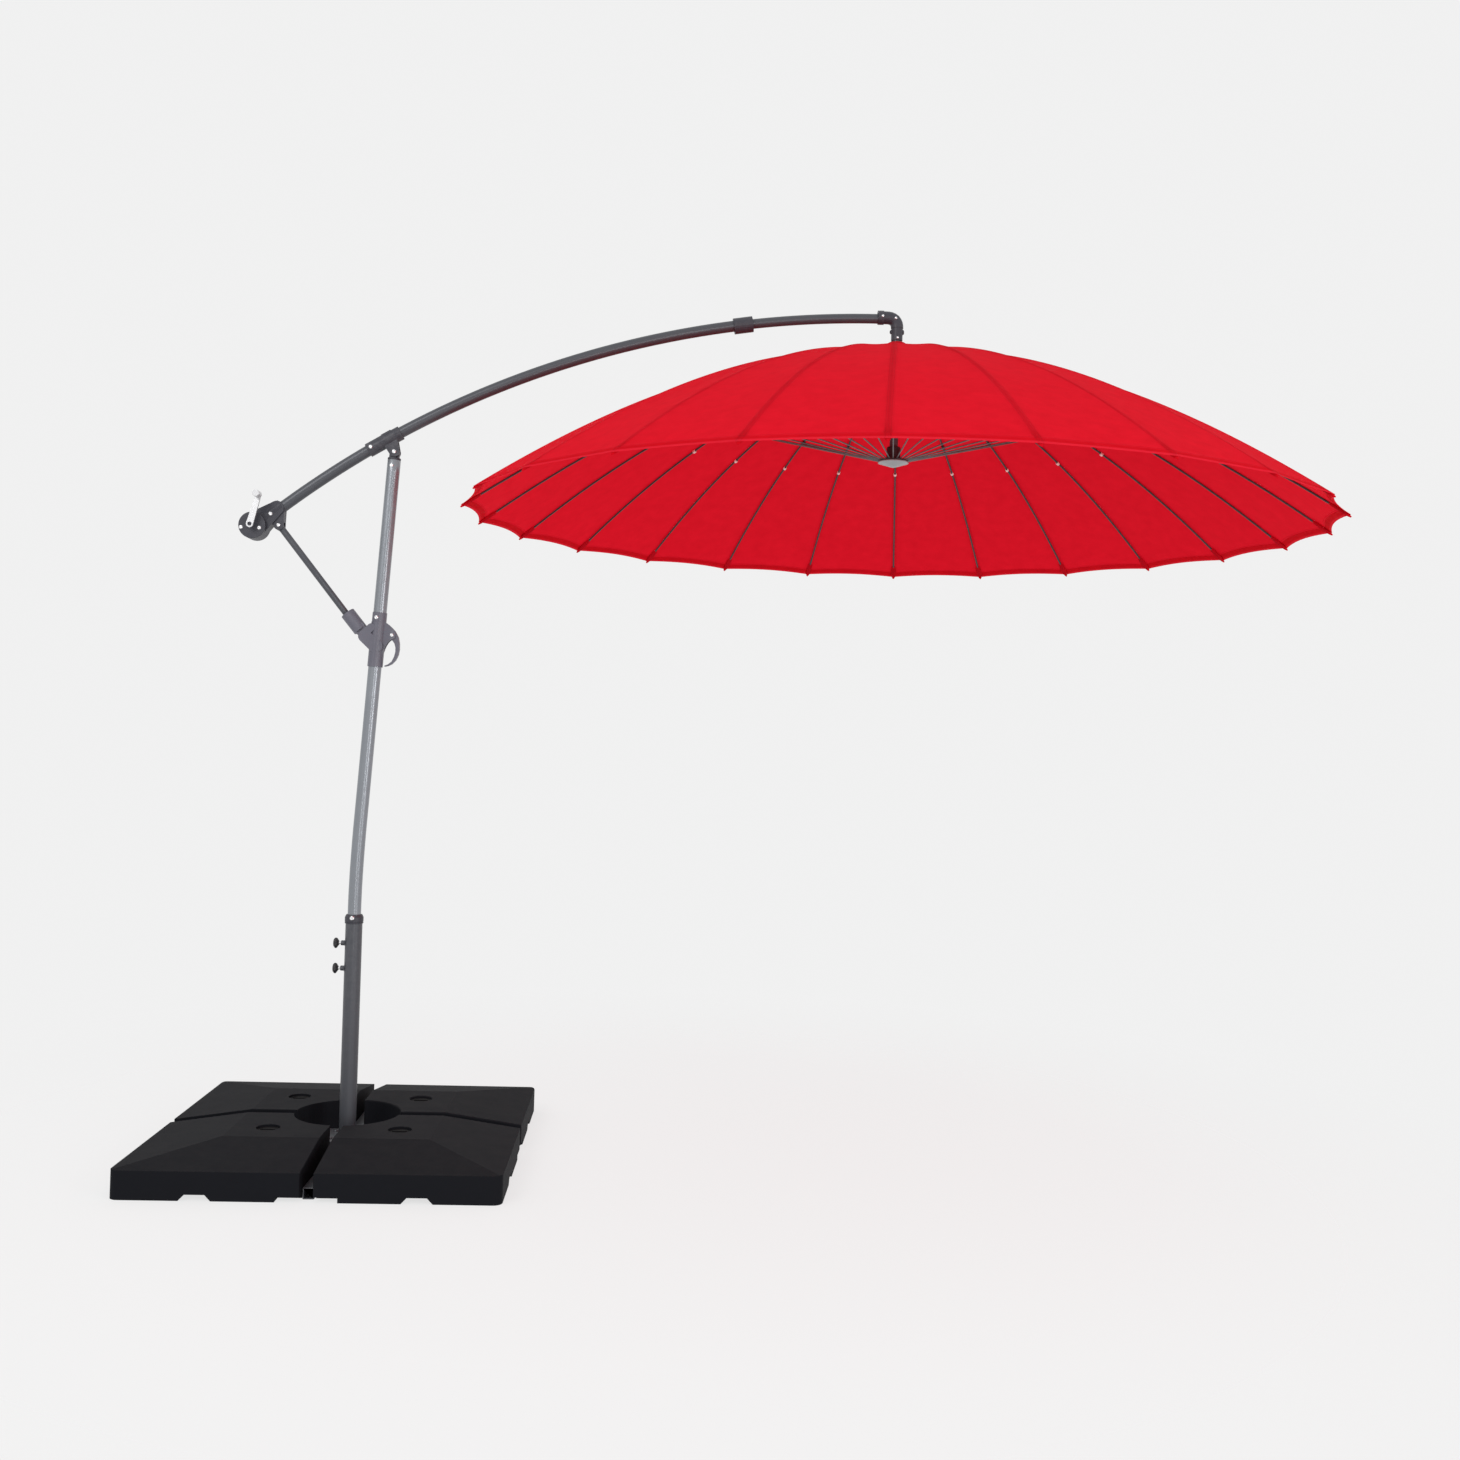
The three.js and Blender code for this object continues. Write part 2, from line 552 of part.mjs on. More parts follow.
// A disc with one slot for each rib, as a flat outline with a bore.
function notchedDisc(radius, bore, slotHalf, slotFloor, z0, z1) {
  const outline = new THREE.Shape();
  for (let k = 0; k < canopy.ribs; k += 1) {
    const centre = ribAngle(k);
    const corner = (r, side) => {
      const angle = centre + side * Math.asin(slotHalf / r);
      return [r * Math.cos(angle), r * Math.sin(angle)];
    };
    if (k === 0) outline.moveTo(...corner(radius, -1));
    else outline.lineTo(...corner(radius, -1));
    outline.lineTo(...corner(slotFloor, -1));
    outline.lineTo(...corner(slotFloor, 1));
    outline.lineTo(...corner(radius, 1));
  }
  outline.closePath();
  outline.holes.push(new THREE.Path().absarc(0, 0, bore, 0, 2 * Math.PI, true));
  return new THREE.ExtrudeGeometry(outline, { depth: z1 - z0, bevelEnabled: false })
    .translate(0, 0, z0);
}

const ribPivotZ = canopy.rimZ + riseAt(rib.pivotRadius / canopy.radius);
const topHub = () => notchedDisc(hub.radius, hub.bore, rib.radius + gap, rib.pivotRadius - hub.slotPast,
  ribPivotZ - hub.thick + hub.overPivot, ribPivotZ + hub.overPivot).translate(canopy.x, 0, 0);

function ribRod(k) {
  const from = (rib.pivotRadius - rib.tail) / canopy.radius;
  const to = 1 - rib.tipInset / canopy.radius;
  const points = [];
  const spans = 6;
  for (let i = 0; i <= spans; i += 1) {
    const share = THREE.MathUtils.lerp(from, to, i / spans);
    points.push(vec(share * canopy.radius, 0, canopy.rimZ + riseAt(share)));
  }
  const line = new THREE.CatmullRomCurve3(points, false, 'catmullrom', 0.5);
  return tubeAlong(line, 7, rib.radius, 0, 3).rotateZ(ribAngle(k)).translate(canopy.x, 0, 0);
}

// The cloth runs just above the ribs, flat between neighbouring ribs, with a scalloped hem.
function canopyCloth() {
  const under = rib.radius + clothOverRib;
  const rings = 9;
  const inner = [];
  const outer = [];
  for (let i = 0; i <= rings; i += 1) {
    const share = THREE.MathUtils.lerp(canopy.hole / canopy.radius, 1, (i / rings) ** 1.2);
    const tip = Math.atan(slopeAt(share));
    const z = canopy.rimZ + riseAt(share);
    const at = (off) => [share * canopy.radius + off * Math.sin(tip), z + off * Math.cos(tip)];
    inner.push(at(under));
    outer.push(at(under + canopy.thick));
  }
  const profile = [...inner, ...outer.reverse(), inner[0]];
  const points = profile.map(([r, z]) => new THREE.Vector2(r, z));
  const shell = new THREE.LatheGeometry(points, canopy.ribs * 2).rotateX(Math.PI / 2);
  const p = shell.attributes.position;
  const flat = Math.cos(Math.PI / canopy.ribs);
  const pitch = Math.PI / canopy.ribs;
  for (let i = 0; i < p.count; i += 1) {
    const column = Math.round(Math.atan2(p.getY(i), p.getX(i)) / pitch + Math.PI / 2 / pitch);
    if (Math.abs(column % 2) !== 0) {
      const share = Math.hypot(p.getX(i), p.getY(i)) / canopy.radius;
      const pull = flat * (1 - canopy.scallop * share ** 5);
      p.setX(i, p.getX(i) * pull);
      p.setY(i, p.getY(i) * pull);
    }
  }
  return geometryOf(solidOf(shell)).rotateZ(rad(canopy.phase)).translate(canopy.x, 0, 0);
}

function canopyCap() {
  const { radius, waist, waistShare, lift, height, collar: neck, wall } = capRing;
  const low = canopy.rimZ + riseAt(0) + rib.radius + clothOverRib + canopy.thick + lift;
  const bore = pole.outer + gap;
  const middle = low + height * waistShare;
  const top = low + height;
  return turned([[bore, top - wall], [waist - wall, middle - wall], [radius - wall, low - lift],
    [radius, low - lift], [waist, middle], [neck, top], [bore, top], [bore, top - wall]])
    .translate(canopy.x, 0, 0);
}

function runnerHub() {
  const { z, thick, rimRadius, rim, sleeve, sleeveTop, cone, floor, radius } = runner;
  const low = z - thick / 2;
  const bore = pole.outer + slideFit;
  return turned([[0, low - cone], [rimRadius, low], [rimRadius, low + rim], [radius, low + rim + 1],
    [radius, z + thick / 2], [sleeve, z + thick / 2], [sleeve, sleeveTop], [bore, sleeveTop],
    [bore, low + floor], [0, low + floor], [0, low - cone]], 32).translate(canopy.x, 0, 0);
}

// The stretchers hang on one wire ring round the runner and reach up to the ribs.
function stretchers() {
  const { share, ringHalf, ringOver, tipGap, tipDrop } = stretcher;
  const z = runner.z + ringOver;
  const inner = runner.radius + gap;
  const wire = ring(inner, inner + stretcher.ring, z - ringHalf, z + ringHalf, 32);
  const tip = Math.atan(slopeAt(share));
  const drop = rib.radius + stretcher.radius + gap;
  const reach = share * canopy.radius - drop * Math.sin(tip);
  const height = canopy.rimZ + riseAt(share) - drop * Math.cos(tip);
  const bars = [];
  for (let k = 0; k < canopy.ribs; k += 1) {
    const out = vec(Math.cos(ribAngle(k)), Math.sin(ribAngle(k)), 0);
    const from = out.clone().multiplyScalar(inner + stretcher.ring / 2).setZ(z);
    const to = out.clone().multiplyScalar(reach - tipGap).setZ(height - tipDrop);
    bars.push(rod(from, to, stretcher.radius, 6));
  }
  return join(wire, ...bars).translate(canopy.x, 0, 0);
}

// ---------------------------------------------------------------- assembly
const umbrella = new THREE.Group();
function add(name, geometry, material) {
  const mesh = new THREE.Mesh(geometry, material);
  mesh.name = name;
  umbrella.add(mesh);
}

['back_right', 'back_left', 'front_left', 'front_right'].forEach((place, quarter) =>
  add(`slab_${place}`, slab(quarter), slabBlack));
add('cross_beam', crossBeam(), anthracite);
add('cross_leg_back', crossLeg(1), anthracite);
add('cross_leg_front', crossLeg(-1), anthracite);
add('base_tube', baseTubeSolid(), anthracite);
add('tube_collar', tubeCollar(), plastic);
['upper', 'lower'].forEach((place, i) => {
  add(`thumb_stem_${place}`, thumbStem(thumb.heights[i]), steel);
  add(`thumb_knob_${place}`, thumbKnob(thumb.heights[i]), plastic);
});
add('mast_tube', mastTube(), anthracite);
add('mast_cap', mastCap(), plastic);
add('tilt_pin', tiltPin(), steel);
add('slider_sleeve', sliderSleeve(), plastic);
add('slider_lever', sliderLever(), plastic);
add('strut_tube', strutTube(), anthracite);
add('strut_socket', strutSocket(), plastic);
add('arm_tube', armTube(), anthracite);
add('arm_end_tube', armEndTube(), anthracite);
add('arm_collar', armCollarSolid(), plastic);
add('tee_sleeve', teeSleeve(), plastic);
add('elbow', elbow(), plastic);
add('crank_housing', crankHousing(), plastic);
add('crank_cover', crankCover(), plastic);
add('crank_handle', crankHandle(), steel);
add('crank_knob', crankKnob(), paleGrey);
add('cord_drum', drum(), plastic);
add('pole', poleTube(), anthracite);
add('top_hub', topHub(), plastic);
add('runner_hub', runnerHub(), plastic);
add('stretchers', stretchers(), steel);
add('canopy', canopyCloth(), cloth);
add('canopy_cap', canopyCap(), cloth);
for (let k = 0; k < canopy.ribs; k += 1) {
  add(`rib_${String(k).padStart(2, '0')}`, ribRod(k), steel);
}

export default umbrella;
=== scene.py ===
# %% [markdown]
# # A cantilever patio umbrella
# The model that comes in is a plain, exact frame: tubes, sleeves, slabs and ribs, each riding on a
# moving body. This lesson dresses that frame. Round tubes are swept again with many sides, the slabs
# get worn edges, the cloth is sewn from gores, and every surface gets a procedural finish.

# %% Load the frame
import json
import math

import bpy
import numpy as np
from mathutils import Matrix, Vector


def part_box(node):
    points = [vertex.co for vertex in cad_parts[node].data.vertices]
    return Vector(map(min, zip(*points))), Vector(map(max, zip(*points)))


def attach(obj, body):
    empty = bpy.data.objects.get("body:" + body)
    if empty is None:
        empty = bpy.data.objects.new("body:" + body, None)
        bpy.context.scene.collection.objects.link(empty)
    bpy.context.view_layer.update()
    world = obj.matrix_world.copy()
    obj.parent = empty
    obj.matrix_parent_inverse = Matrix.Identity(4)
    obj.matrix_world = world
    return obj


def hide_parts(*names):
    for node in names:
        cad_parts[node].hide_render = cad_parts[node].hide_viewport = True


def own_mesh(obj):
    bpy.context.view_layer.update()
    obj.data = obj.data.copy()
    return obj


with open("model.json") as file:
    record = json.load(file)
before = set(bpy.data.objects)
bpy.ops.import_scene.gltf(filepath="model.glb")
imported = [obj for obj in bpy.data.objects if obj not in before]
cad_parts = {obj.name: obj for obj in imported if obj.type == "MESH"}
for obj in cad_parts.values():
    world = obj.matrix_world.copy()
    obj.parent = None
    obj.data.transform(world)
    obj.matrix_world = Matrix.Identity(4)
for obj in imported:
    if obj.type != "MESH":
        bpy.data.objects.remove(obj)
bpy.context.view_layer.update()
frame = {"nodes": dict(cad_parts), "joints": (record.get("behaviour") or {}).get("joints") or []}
joints = {j["name"]: j for j in frame["joints"]}

# %% [markdown]
# ## Camera
# The camera stands in front of the umbrella at chest height and looks a little upward, slightly
# rolled, as if held by hand. A normal lens keeps the far and near rims of the canopy in a
# believable ratio. The rotation is built from three angles, so each can be read by itself.

# %% Camera
CAMERA_PLACE = Vector((0.870, -4.345, 1.201))
CAMERA_YAW, CAMERA_PITCH, CAMERA_ROLL = (math.radians(a) for a in (2.71, 0.64, 1.71))
LENS_MM = 36.45

forward = Vector((math.sin(CAMERA_YAW) * math.cos(CAMERA_PITCH),
                  math.cos(CAMERA_YAW) * math.cos(CAMERA_PITCH), math.sin(CAMERA_PITCH)))
level = Vector((math.cos(CAMERA_YAW), -math.sin(CAMERA_YAW), 0))
upright = level.cross(forward)
right = math.cos(CAMERA_ROLL) * level + math.sin(CAMERA_ROLL) * upright
up = -math.sin(CAMERA_ROLL) * level + math.cos(CAMERA_ROLL) * upright

camera_data = bpy.data.cameras.new("camera")
camera_data.lens = LENS_MM
camera_data.sensor_width = 36
camera = bpy.data.objects.new("camera", camera_data)
turn = Matrix((right, up, -forward)).transposed().to_4x4()
camera.matrix_world = Matrix.Translation(CAMERA_PLACE) @ turn
bpy.context.collection.objects.link(camera)
bpy.context.scene.camera = camera
print("camera looks along", [round(v, 3) for v in forward])

# %% [markdown]
# ## Mesh helpers
# Nearly everything on this umbrella is either turned (collars, hubs, knobs) or drawn along a line
# (tubes, ribs, wires). Two helpers cover both: one spins a profile round any axis, the other sweeps
# a circle along a list of points, with its own radius at each, so that a tube can have a rolled lip.

# %% Mesh helpers
UP = (0, 0, 1)
NEAR, FAR = (0, -1, 0), (0, 1, 0)


def add_piece(name, vertices, faces, body, material, sharp=35, solid_bevel=0.0):
    """A new mesh object that rides on a body, smooth except at edges sharper than an angle."""
    mesh = bpy.data.meshes.new(name)
    mesh.from_pydata([tuple(v) for v in vertices], [], faces)
    mesh.validate()
    mesh.polygons.foreach_set("use_smooth", [True] * len(mesh.polygons))
    mesh.set_sharp_from_angle(angle=math.radians(sharp))
    obj = bpy.data.objects.new(name, mesh)
    bpy.context.collection.objects.link(obj)
    mesh.materials.append(material)
    if solid_bevel:
        round_edges(obj, solid_bevel)
    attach(obj, body)
    return obj


def round_edges(obj, width, segments=2, angle=32):
    bevel = obj.modifiers.new("rounded_edges", "BEVEL")
    bevel.width = width
    bevel.segments = segments
    bevel.limit_method = "ANGLE"
    bevel.angle_limit = math.radians(angle)
    bevel.harden_normals = True
    return bevel


def frame_of(direction):
    """Two unit vectors square to a direction and to each other."""
    direction = Vector(direction).normalized()
    side = Vector((0, 1, 0))
    if abs(direction.dot(side)) > 0.95:
        side = Vector((1, 0, 0))
    first = (side - direction * side.dot(direction)).normalized()
    return first, direction.cross(first)


def ring_faces(first, second, sides, flip=False):
    """The quads between two rings of points, given the index that each ring starts at."""
    quads = []
    for i in range(sides):
        n = (i + 1) % sides
        quads.append((first + i, first + n, second + n, second + i))
    return [quad[::-1] for quad in quads] if flip else quads


def end_caps(last, sides):
    """The two faces that close a bar whose last ring starts at an index."""
    return [tuple(reversed(range(sides))), tuple(last + i for i in range(sides))]


def turned(profile, origin, axis, sides=64, closed=False):
    """Spins (radius, height) points round an axis; returns vertices and faces."""
    axis = Vector(axis).normalized()
    origin = Vector(origin)
    first, second = frame_of(axis)
    vertices, faces = [], []
    for radius, height in profile:
        for i in range(sides):
            a = 2 * math.pi * i / sides
            out = first * math.cos(a) + second * math.sin(a)
            vertices.append(origin + axis * height + out * max(radius, 1e-6))
    rings = len(profile)
    for j in range(rings if closed else rings - 1):
        faces += ring_faces(j * sides, (j + 1) % rings * sides, sides)
    return vertices, faces


def turned_piece(name, profile, origin, axis, body, material, sides=64, closed=False, sharp=35):
    """A turned profile as a piece of its own."""
    vertices, faces = turned(profile, origin, axis, sides, closed)
    return add_piece(name, vertices, faces, body, material, sharp)


def swept(points, radii, sides=32, hollow=0.0, side_axis=(0, 1, 0)):
    """A tube along points, with a radius at each; hollow is the wall's thickness, 0 for a bar."""
    points = [Vector(p) for p in points]
    side_axis = Vector(side_axis)
    vertices, faces = [], []
    count = len(points)
    walls = [0.0, hollow] if hollow else [0.0]
    for wall in walls:
        for j, p in enumerate(points):
            ahead = points[min(j + 1, count - 1)] - points[max(j - 1, 0)]
            ahead.normalize()
            first = (side_axis - ahead * side_axis.dot(ahead)).normalized()
            second = ahead.cross(first)
            for i in range(sides):
                a = 2 * math.pi * i / sides
                vertices.append(p + (first * math.cos(a) + second * math.sin(a)) * (radii[j] - wall))
    for layer in range(len(walls)):
        start = layer * count * sides
        for j in range(count - 1):
            faces += ring_faces(start + j * sides, start + (j + 1) * sides, sides, flip=layer == 1)
    last = (count - 1) * sides
    if hollow:
        inner = count * sides
        faces += ring_faces(0, inner, sides, flip=True)
        faces += ring_faces(last, inner + last, sides)
    else:
        faces += end_caps(last, sides)
    return vertices, faces


def arc(radius, centre, start, stop, steps):
    """(radius, height) points on a quarter or so of a circle, for a turned profile's rounding."""
    turns = np.linspace(math.radians(start), math.radians(stop), steps)
    return [(centre[0] + radius * math.cos(t), centre[1] + radius * math.sin(t)) for t in turns]


def short_tube(bore, outer, half, cut, drop):
    """A short tube's profile about its middle, with its outer edges cut back."""
    return [(bore, -half), (outer - cut, -half), (outer, drop - half),
            (outer, half - drop), (outer - cut, half), (bore, half)]


print("helpers ready")

# %% [markdown]
# ## Finishes: shared effects
# Three effects turn up in every hard finish. A fine grain breaks up every reflection. Edge wear
# lightens corners where paint or plastic rubs. Dust settles on faces that look up. Each is a node
# group with named inputs, so a material only sets values. The cloth's weave is a fourth group.

# %% Node group helpers
def new_group(name, inputs, outputs):
    group = bpy.data.node_groups.new(name, "ShaderNodeTree")
    for label, kind, default in inputs:
        socket = group.interface.new_socket(label, in_out="INPUT", socket_type=kind)
        if default is not None:
            socket.default_value = default
    for label, kind in outputs:
        group.interface.new_socket(label, in_out="OUTPUT", socket_type=kind)
    start = group.nodes.new("NodeGroupInput")
    end = group.nodes.new("NodeGroupOutput")
    return group, start.outputs, end.inputs


def node(tree, kind, **values):
    n = tree.nodes.new(kind)
    for key, value in values.items():
        if hasattr(n, key) and key not in n.inputs:
            setattr(n, key, value)
        else:
            n.inputs[key].default_value = value
    return n


def math_node(tree, operation, a, b=None, clamp=False):
    n = tree.nodes.new("ShaderNodeMath")
    n.operation = operation
    n.use_clamp = clamp
    for i, value in enumerate((a, b)):
        if value is None:
            continue
        if isinstance(value, (int, float)):
            n.inputs[i].default_value = value
        else:
            tree.links.new(value, n.inputs[i])
    return n.outputs[0]


def mix_colour(tree, share, a, b, blend="MIX"):
    n = tree.nodes.new("ShaderNodeMix")
    n.data_type = "RGBA"
    n.blend_type = blend
    for socket, value in ((n.inputs[0], share), (n.inputs[6], a), (n.inputs[7], b)):
        if isinstance(value, (int, float)):
            socket.default_value = value
        elif isinstance(value, (tuple, list)):
            socket.default_value = (*value, 1) if len(value) == 3 else value
        else:
            tree.links.new(value, socket)
    return n.outputs[2]


def spread_of(tree, value, low, high, to_low=0.0, to_high=1.0):
    n = tree.nodes.new("ShaderNodeMapRange")
    n.clamp = True
    tree.links.new(value, n.inputs[0])
    for i, v in enumerate((low, high, to_low, to_high)):
        n.inputs[i + 1].default_value = v
    return n.outputs[0]


# %% Surface grain
grain, g_in, g_out = new_group("surface_grain", [
    ("Scale", "NodeSocketFloat", 900.0), ("Height", "NodeSocketFloat", 0.0002),
    ("Roughness", "NodeSocketFloat", 0.5), ("Variation", "NodeSocketFloat", 0.08)],
    [("Normal", "NodeSocketVector"), ("Roughness", "NodeSocketFloat"), ("Cloud", "NodeSocketFloat")])
place = node(grain, "ShaderNodeTexCoord")
fine = node(grain, "ShaderNodeTexNoise", Detail=3.0, Roughness=0.6)
broad = node(grain, "ShaderNodeTexNoise", Scale=9.0, Detail=4.0, Roughness=0.65)
grain.links.new(place.outputs["Object"], fine.inputs["Vector"])
grain.links.new(place.outputs["Object"], broad.inputs["Vector"])
grain.links.new(g_in["Scale"], fine.inputs["Scale"])
bump = node(grain, "ShaderNodeBump", Strength=1.0, Distance=1.0)
lift = math_node(grain, "MULTIPLY", fine.outputs[0], g_in["Height"])
grain.links.new(lift, bump.inputs["Height"])
grain.links.new(bump.outputs[0], g_out["Normal"])
shift = math_node(grain, "SUBTRACT", broad.outputs[0], 0.5)
swing = math_node(grain, "MULTIPLY", shift, g_in["Variation"])
grain.links.new(math_node(grain, "ADD", g_in["Roughness"], swing), g_out["Roughness"])
grain.links.new(broad.outputs[0], g_out["Cloud"])
print("group", grain.name)

# %% Edge wear
wear, w_in, w_out = new_group("edge_wear", [
    ("Colour", "NodeSocketColor", (0.1, 0.1, 0.1, 1)), ("Worn", "NodeSocketColor", (0.3, 0.3, 0.3, 1)),
    ("Amount", "NodeSocketFloat", 0.5)], [("Colour", "NodeSocketColor"), ("Mask", "NodeSocketFloat")])
shape = node(wear, "ShaderNodeNewGeometry")
patches = node(wear, "ShaderNodeTexNoise", Scale=60.0, Detail=5.0, Roughness=0.7)
own = node(wear, "ShaderNodeTexCoord")
wear.links.new(own.outputs["Object"], patches.inputs["Vector"])
edge = spread_of(wear, shape.outputs["Pointiness"], 0.52, 0.62)
broken = spread_of(wear, patches.outputs[0], 0.42, 0.66)
mask = math_node(wear, "MULTIPLY", math_node(wear, "MULTIPLY", edge, broken), w_in["Amount"], True)
wear.links.new(mask, w_out["Mask"])
wear.links.new(mix_colour(wear, mask, w_in["Colour"], w_in["Worn"]), w_out["Colour"])
print("group", wear.name)

# %% Dust on top faces
dust, d_in, d_out = new_group("settled_dust", [
    ("Colour", "NodeSocketColor", (0.1, 0.1, 0.1, 1)), ("Dust", "NodeSocketColor", (0.3, 0.28, 0.26, 1)),
    ("Amount", "NodeSocketFloat", 0.2)], [("Colour", "NodeSocketColor"), ("Mask", "NodeSocketFloat")])
facing = node(dust, "ShaderNodeNewGeometry")
parts = node(dust, "ShaderNodeSeparateXYZ")
dust.links.new(facing.outputs["Normal"], parts.inputs[0])
upward = spread_of(dust, parts.outputs[2], 0.35, 1.0)
where = node(dust, "ShaderNodeTexCoord")
speckle = node(dust, "ShaderNodeTexNoise", Scale=22.0, Detail=8.0, Roughness=0.72)
dust.links.new(where.outputs["Object"], speckle.inputs["Vector"])
cloudy = spread_of(dust, speckle.outputs[0], 0.35, 0.75)
lies = math_node(dust, "MULTIPLY", math_node(dust, "MULTIPLY", upward, cloudy), d_in["Amount"], True)
dust.links.new(lies, d_out["Mask"])
dust.links.new(mix_colour(dust, lies, d_in["Colour"], d_in["Dust"]), d_out["Colour"])
print("group", dust.name)

# %% [markdown]
# ## Finishes: metals and plastics
# The tubes are powder coated in anthracite, a satin paint with a faint orange-peel. The mast has
# a lighter copy of the same paint: its extra lightness is painted light, for the light that falls on
# the mast. The sleeves are moulded plastic, a touch violet and duller, lighter on the slider and
# strut. The ballast slabs are black moulded shells with a coarser grain and dust on top. Most bolts
# are bright zinc.

# %% Paint, plastic and metal materials
def material_of(name):
    material = bpy.data.materials.new(name)
    material.use_nodes = True
    return material, material.node_tree, material.node_tree.nodes["Principled BSDF"]


def place_group(tree, group, **values):
    n = tree.nodes.new("ShaderNodeGroup")
    n.node_tree = group
    for key, value in values.items():
        socket = n.inputs[key]
        if isinstance(value, (int, float)):
            socket.default_value = value
        elif isinstance(value, (tuple, list)):
            socket.default_value = (*value, 1)
        else:
            tree.links.new(value, socket)
    return n


def hard_finish(name, colour, worn, roughness, metallic=0.0, grain_scale=900.0, grain_height=0.00002,
                variation=0.1, wear_amount=0.4, dust_amount=0.15, coat=0.0, specular=0.5, cloud=0.12):
    material, tree, shader = material_of(name)
    textured = place_group(tree, grain, Scale=grain_scale, Height=grain_height, Roughness=roughness,
                           Variation=variation)
    darker = tuple(c * (1 - cloud) for c in colour)
    lighter = tuple(min(1, c * (1 + cloud)) for c in colour)
    base = mix_colour(tree, textured.outputs["Cloud"], darker, lighter)
    rubbed = place_group(tree, wear, Colour=base, Worn=worn, Amount=wear_amount)
    dusty = place_group(tree, dust, Colour=rubbed.outputs["Colour"], Amount=dust_amount)
    tree.links.new(dusty.outputs["Colour"], shader.inputs["Base Color"])
    tree.links.new(textured.outputs["Roughness"], shader.inputs["Roughness"])
    tree.links.new(textured.outputs["Normal"], shader.inputs["Normal"])
    shader.inputs["Metallic"].default_value = metallic
    shader.inputs["Specular IOR Level"].default_value = specular
    shader.inputs["Coat Weight"].default_value = coat
    return material


anthracite = hard_finish("anthracite_paint", (0.062, 0.065, 0.075), (0.2, 0.2, 0.21), 0.38,
                         metallic=0.25, grain_scale=1400, dust_amount=0.05, coat=0.1, specular=0.4)
dark_plastic = hard_finish("moulded_dark_grey", (0.036, 0.036, 0.046), (0.12, 0.12, 0.13), 0.44,
                           grain_scale=2200, grain_height=0.00003, dust_amount=0.06, specular=0.35)
black_plastic = hard_finish("moulded_black", (0.012, 0.012, 0.014), (0.08, 0.08, 0.085), 0.42,
                            grain_scale=2200, dust_amount=0.05)
slab_finish = hard_finish("slab_shell_black", (0.0072, 0.0076, 0.0098), (0.022, 0.022, 0.026), 0.7,
                          grain_scale=700, grain_height=0.00006, dust_amount=0.015, wear_amount=0.3,
                          specular=0.06)
# Black plastic, made blacker than the slab shell: painted shade of the deep recess that the plug sits in.
plug_black_and_painted_recess_shade = hard_finish("plug_black_and_painted_recess_shade", (0.004, 0.004, 0.0045), (0.02, 0.02, 0.02), 0.6,
                           grain_scale=2200, dust_amount=0.02, specular=0.08)
slider_grey = hard_finish("moulded_slider_grey", (0.1, 0.098, 0.125), (0.22, 0.22, 0.24), 0.36,
                          grain_scale=2200, grain_height=0.00002, dust_amount=0.06)
# A lighter copy of the anthracite paint: the extra lightness is painted light, standing for the light that
# falls on the mast.
mast_paint_lightened_painted_light = hard_finish("satin_grey_mast_painted_light", (0.225, 0.24, 0.262), (0.4, 0.4, 0.41), 0.3, metallic=0.6,
                         grain_scale=1400, dust_amount=0.06, coat=0.15)
zinc = hard_finish("bright_zinc", (0.78, 0.78, 0.79), (0.9, 0.9, 0.9), 0.24, metallic=0.9,
                   wear_amount=0.2, dust_amount=0.04)
lever_metal = hard_finish("plated_lever", (0.6, 0.6, 0.61), (0.75, 0.75, 0.75), 0.34, metallic=0.7,
                          wear_amount=0.2, dust_amount=0.04)
wire_grey = hard_finish("wire_grey", (0.1, 0.105, 0.11), (0.3, 0.3, 0.3), 0.4, metallic=0.4,
                        dust_amount=0.03)
rib_dark = hard_finish("rib_dark", (0.05, 0.028, 0.033), (0.2, 0.18, 0.18), 0.45, metallic=0.3,
                       dust_amount=0.02)
pale_cap = hard_finish("pale_grey_cap", (0.27, 0.28, 0.29), (0.5, 0.5, 0.5), 0.32, dust_amount=0.05)
pale_clip = hard_finish("pale_clip", (0.75, 0.5, 0.48), (0.8, 0.8, 0.8), 0.45, dust_amount=0.0)
silver_grey = hard_finish("silver_grey_grip", (0.55, 0.55, 0.56), (0.75, 0.75, 0.75), 0.35,
                          metallic=0.35, dust_amount=0.05)
print("finishes", len(bpy.data.materials))

# %% [markdown]
# ## Finish: red polyester
# The cloth is a plain-woven polyester, dyed through, so its underside is the same red and glows
# where daylight comes through it. The glow is a translucent shader mixed under the plain one. Three
# attributes on the mesh, the distances to the nearest seam, to the hem and along the gore, place
# the seam ridge, the rows of stitches, the doubled hem, the tape on its edge, and a painted shade
# along each seam where the rib lies on the cloth.

# %% Cloth material
weave, v_in, v_out = new_group("plain_weave", [("Threads", "NodeSocketFloat", 900.0),
    ("Depth", "NodeSocketFloat", 0.00004)], [("Height", "NodeSocketFloat"), ("Shade", "NodeSocketFloat")])
coords = node(weave, "ShaderNodeTexCoord")
axes = node(weave, "ShaderNodeSeparateXYZ")
weave.links.new(coords.outputs["UV"], axes.inputs[0])
warp = math_node(weave, "SINE", math_node(weave, "MULTIPLY", axes.outputs[0], v_in["Threads"]))
weft = math_node(weave, "SINE", math_node(weave, "MULTIPLY", axes.outputs[1], v_in["Threads"]))
over = math_node(weave, "MULTIPLY", warp, weft)
weave.links.new(math_node(weave, "MULTIPLY", over, v_in["Depth"]), v_out["Height"])
slub = node(weave, "ShaderNodeTexNoise", Scale=26.0, Detail=6.0, Roughness=0.6)
weave.links.new(coords.outputs["Object"], slub.inputs["Vector"])
weave.links.new(slub.outputs[0], v_out["Shade"])


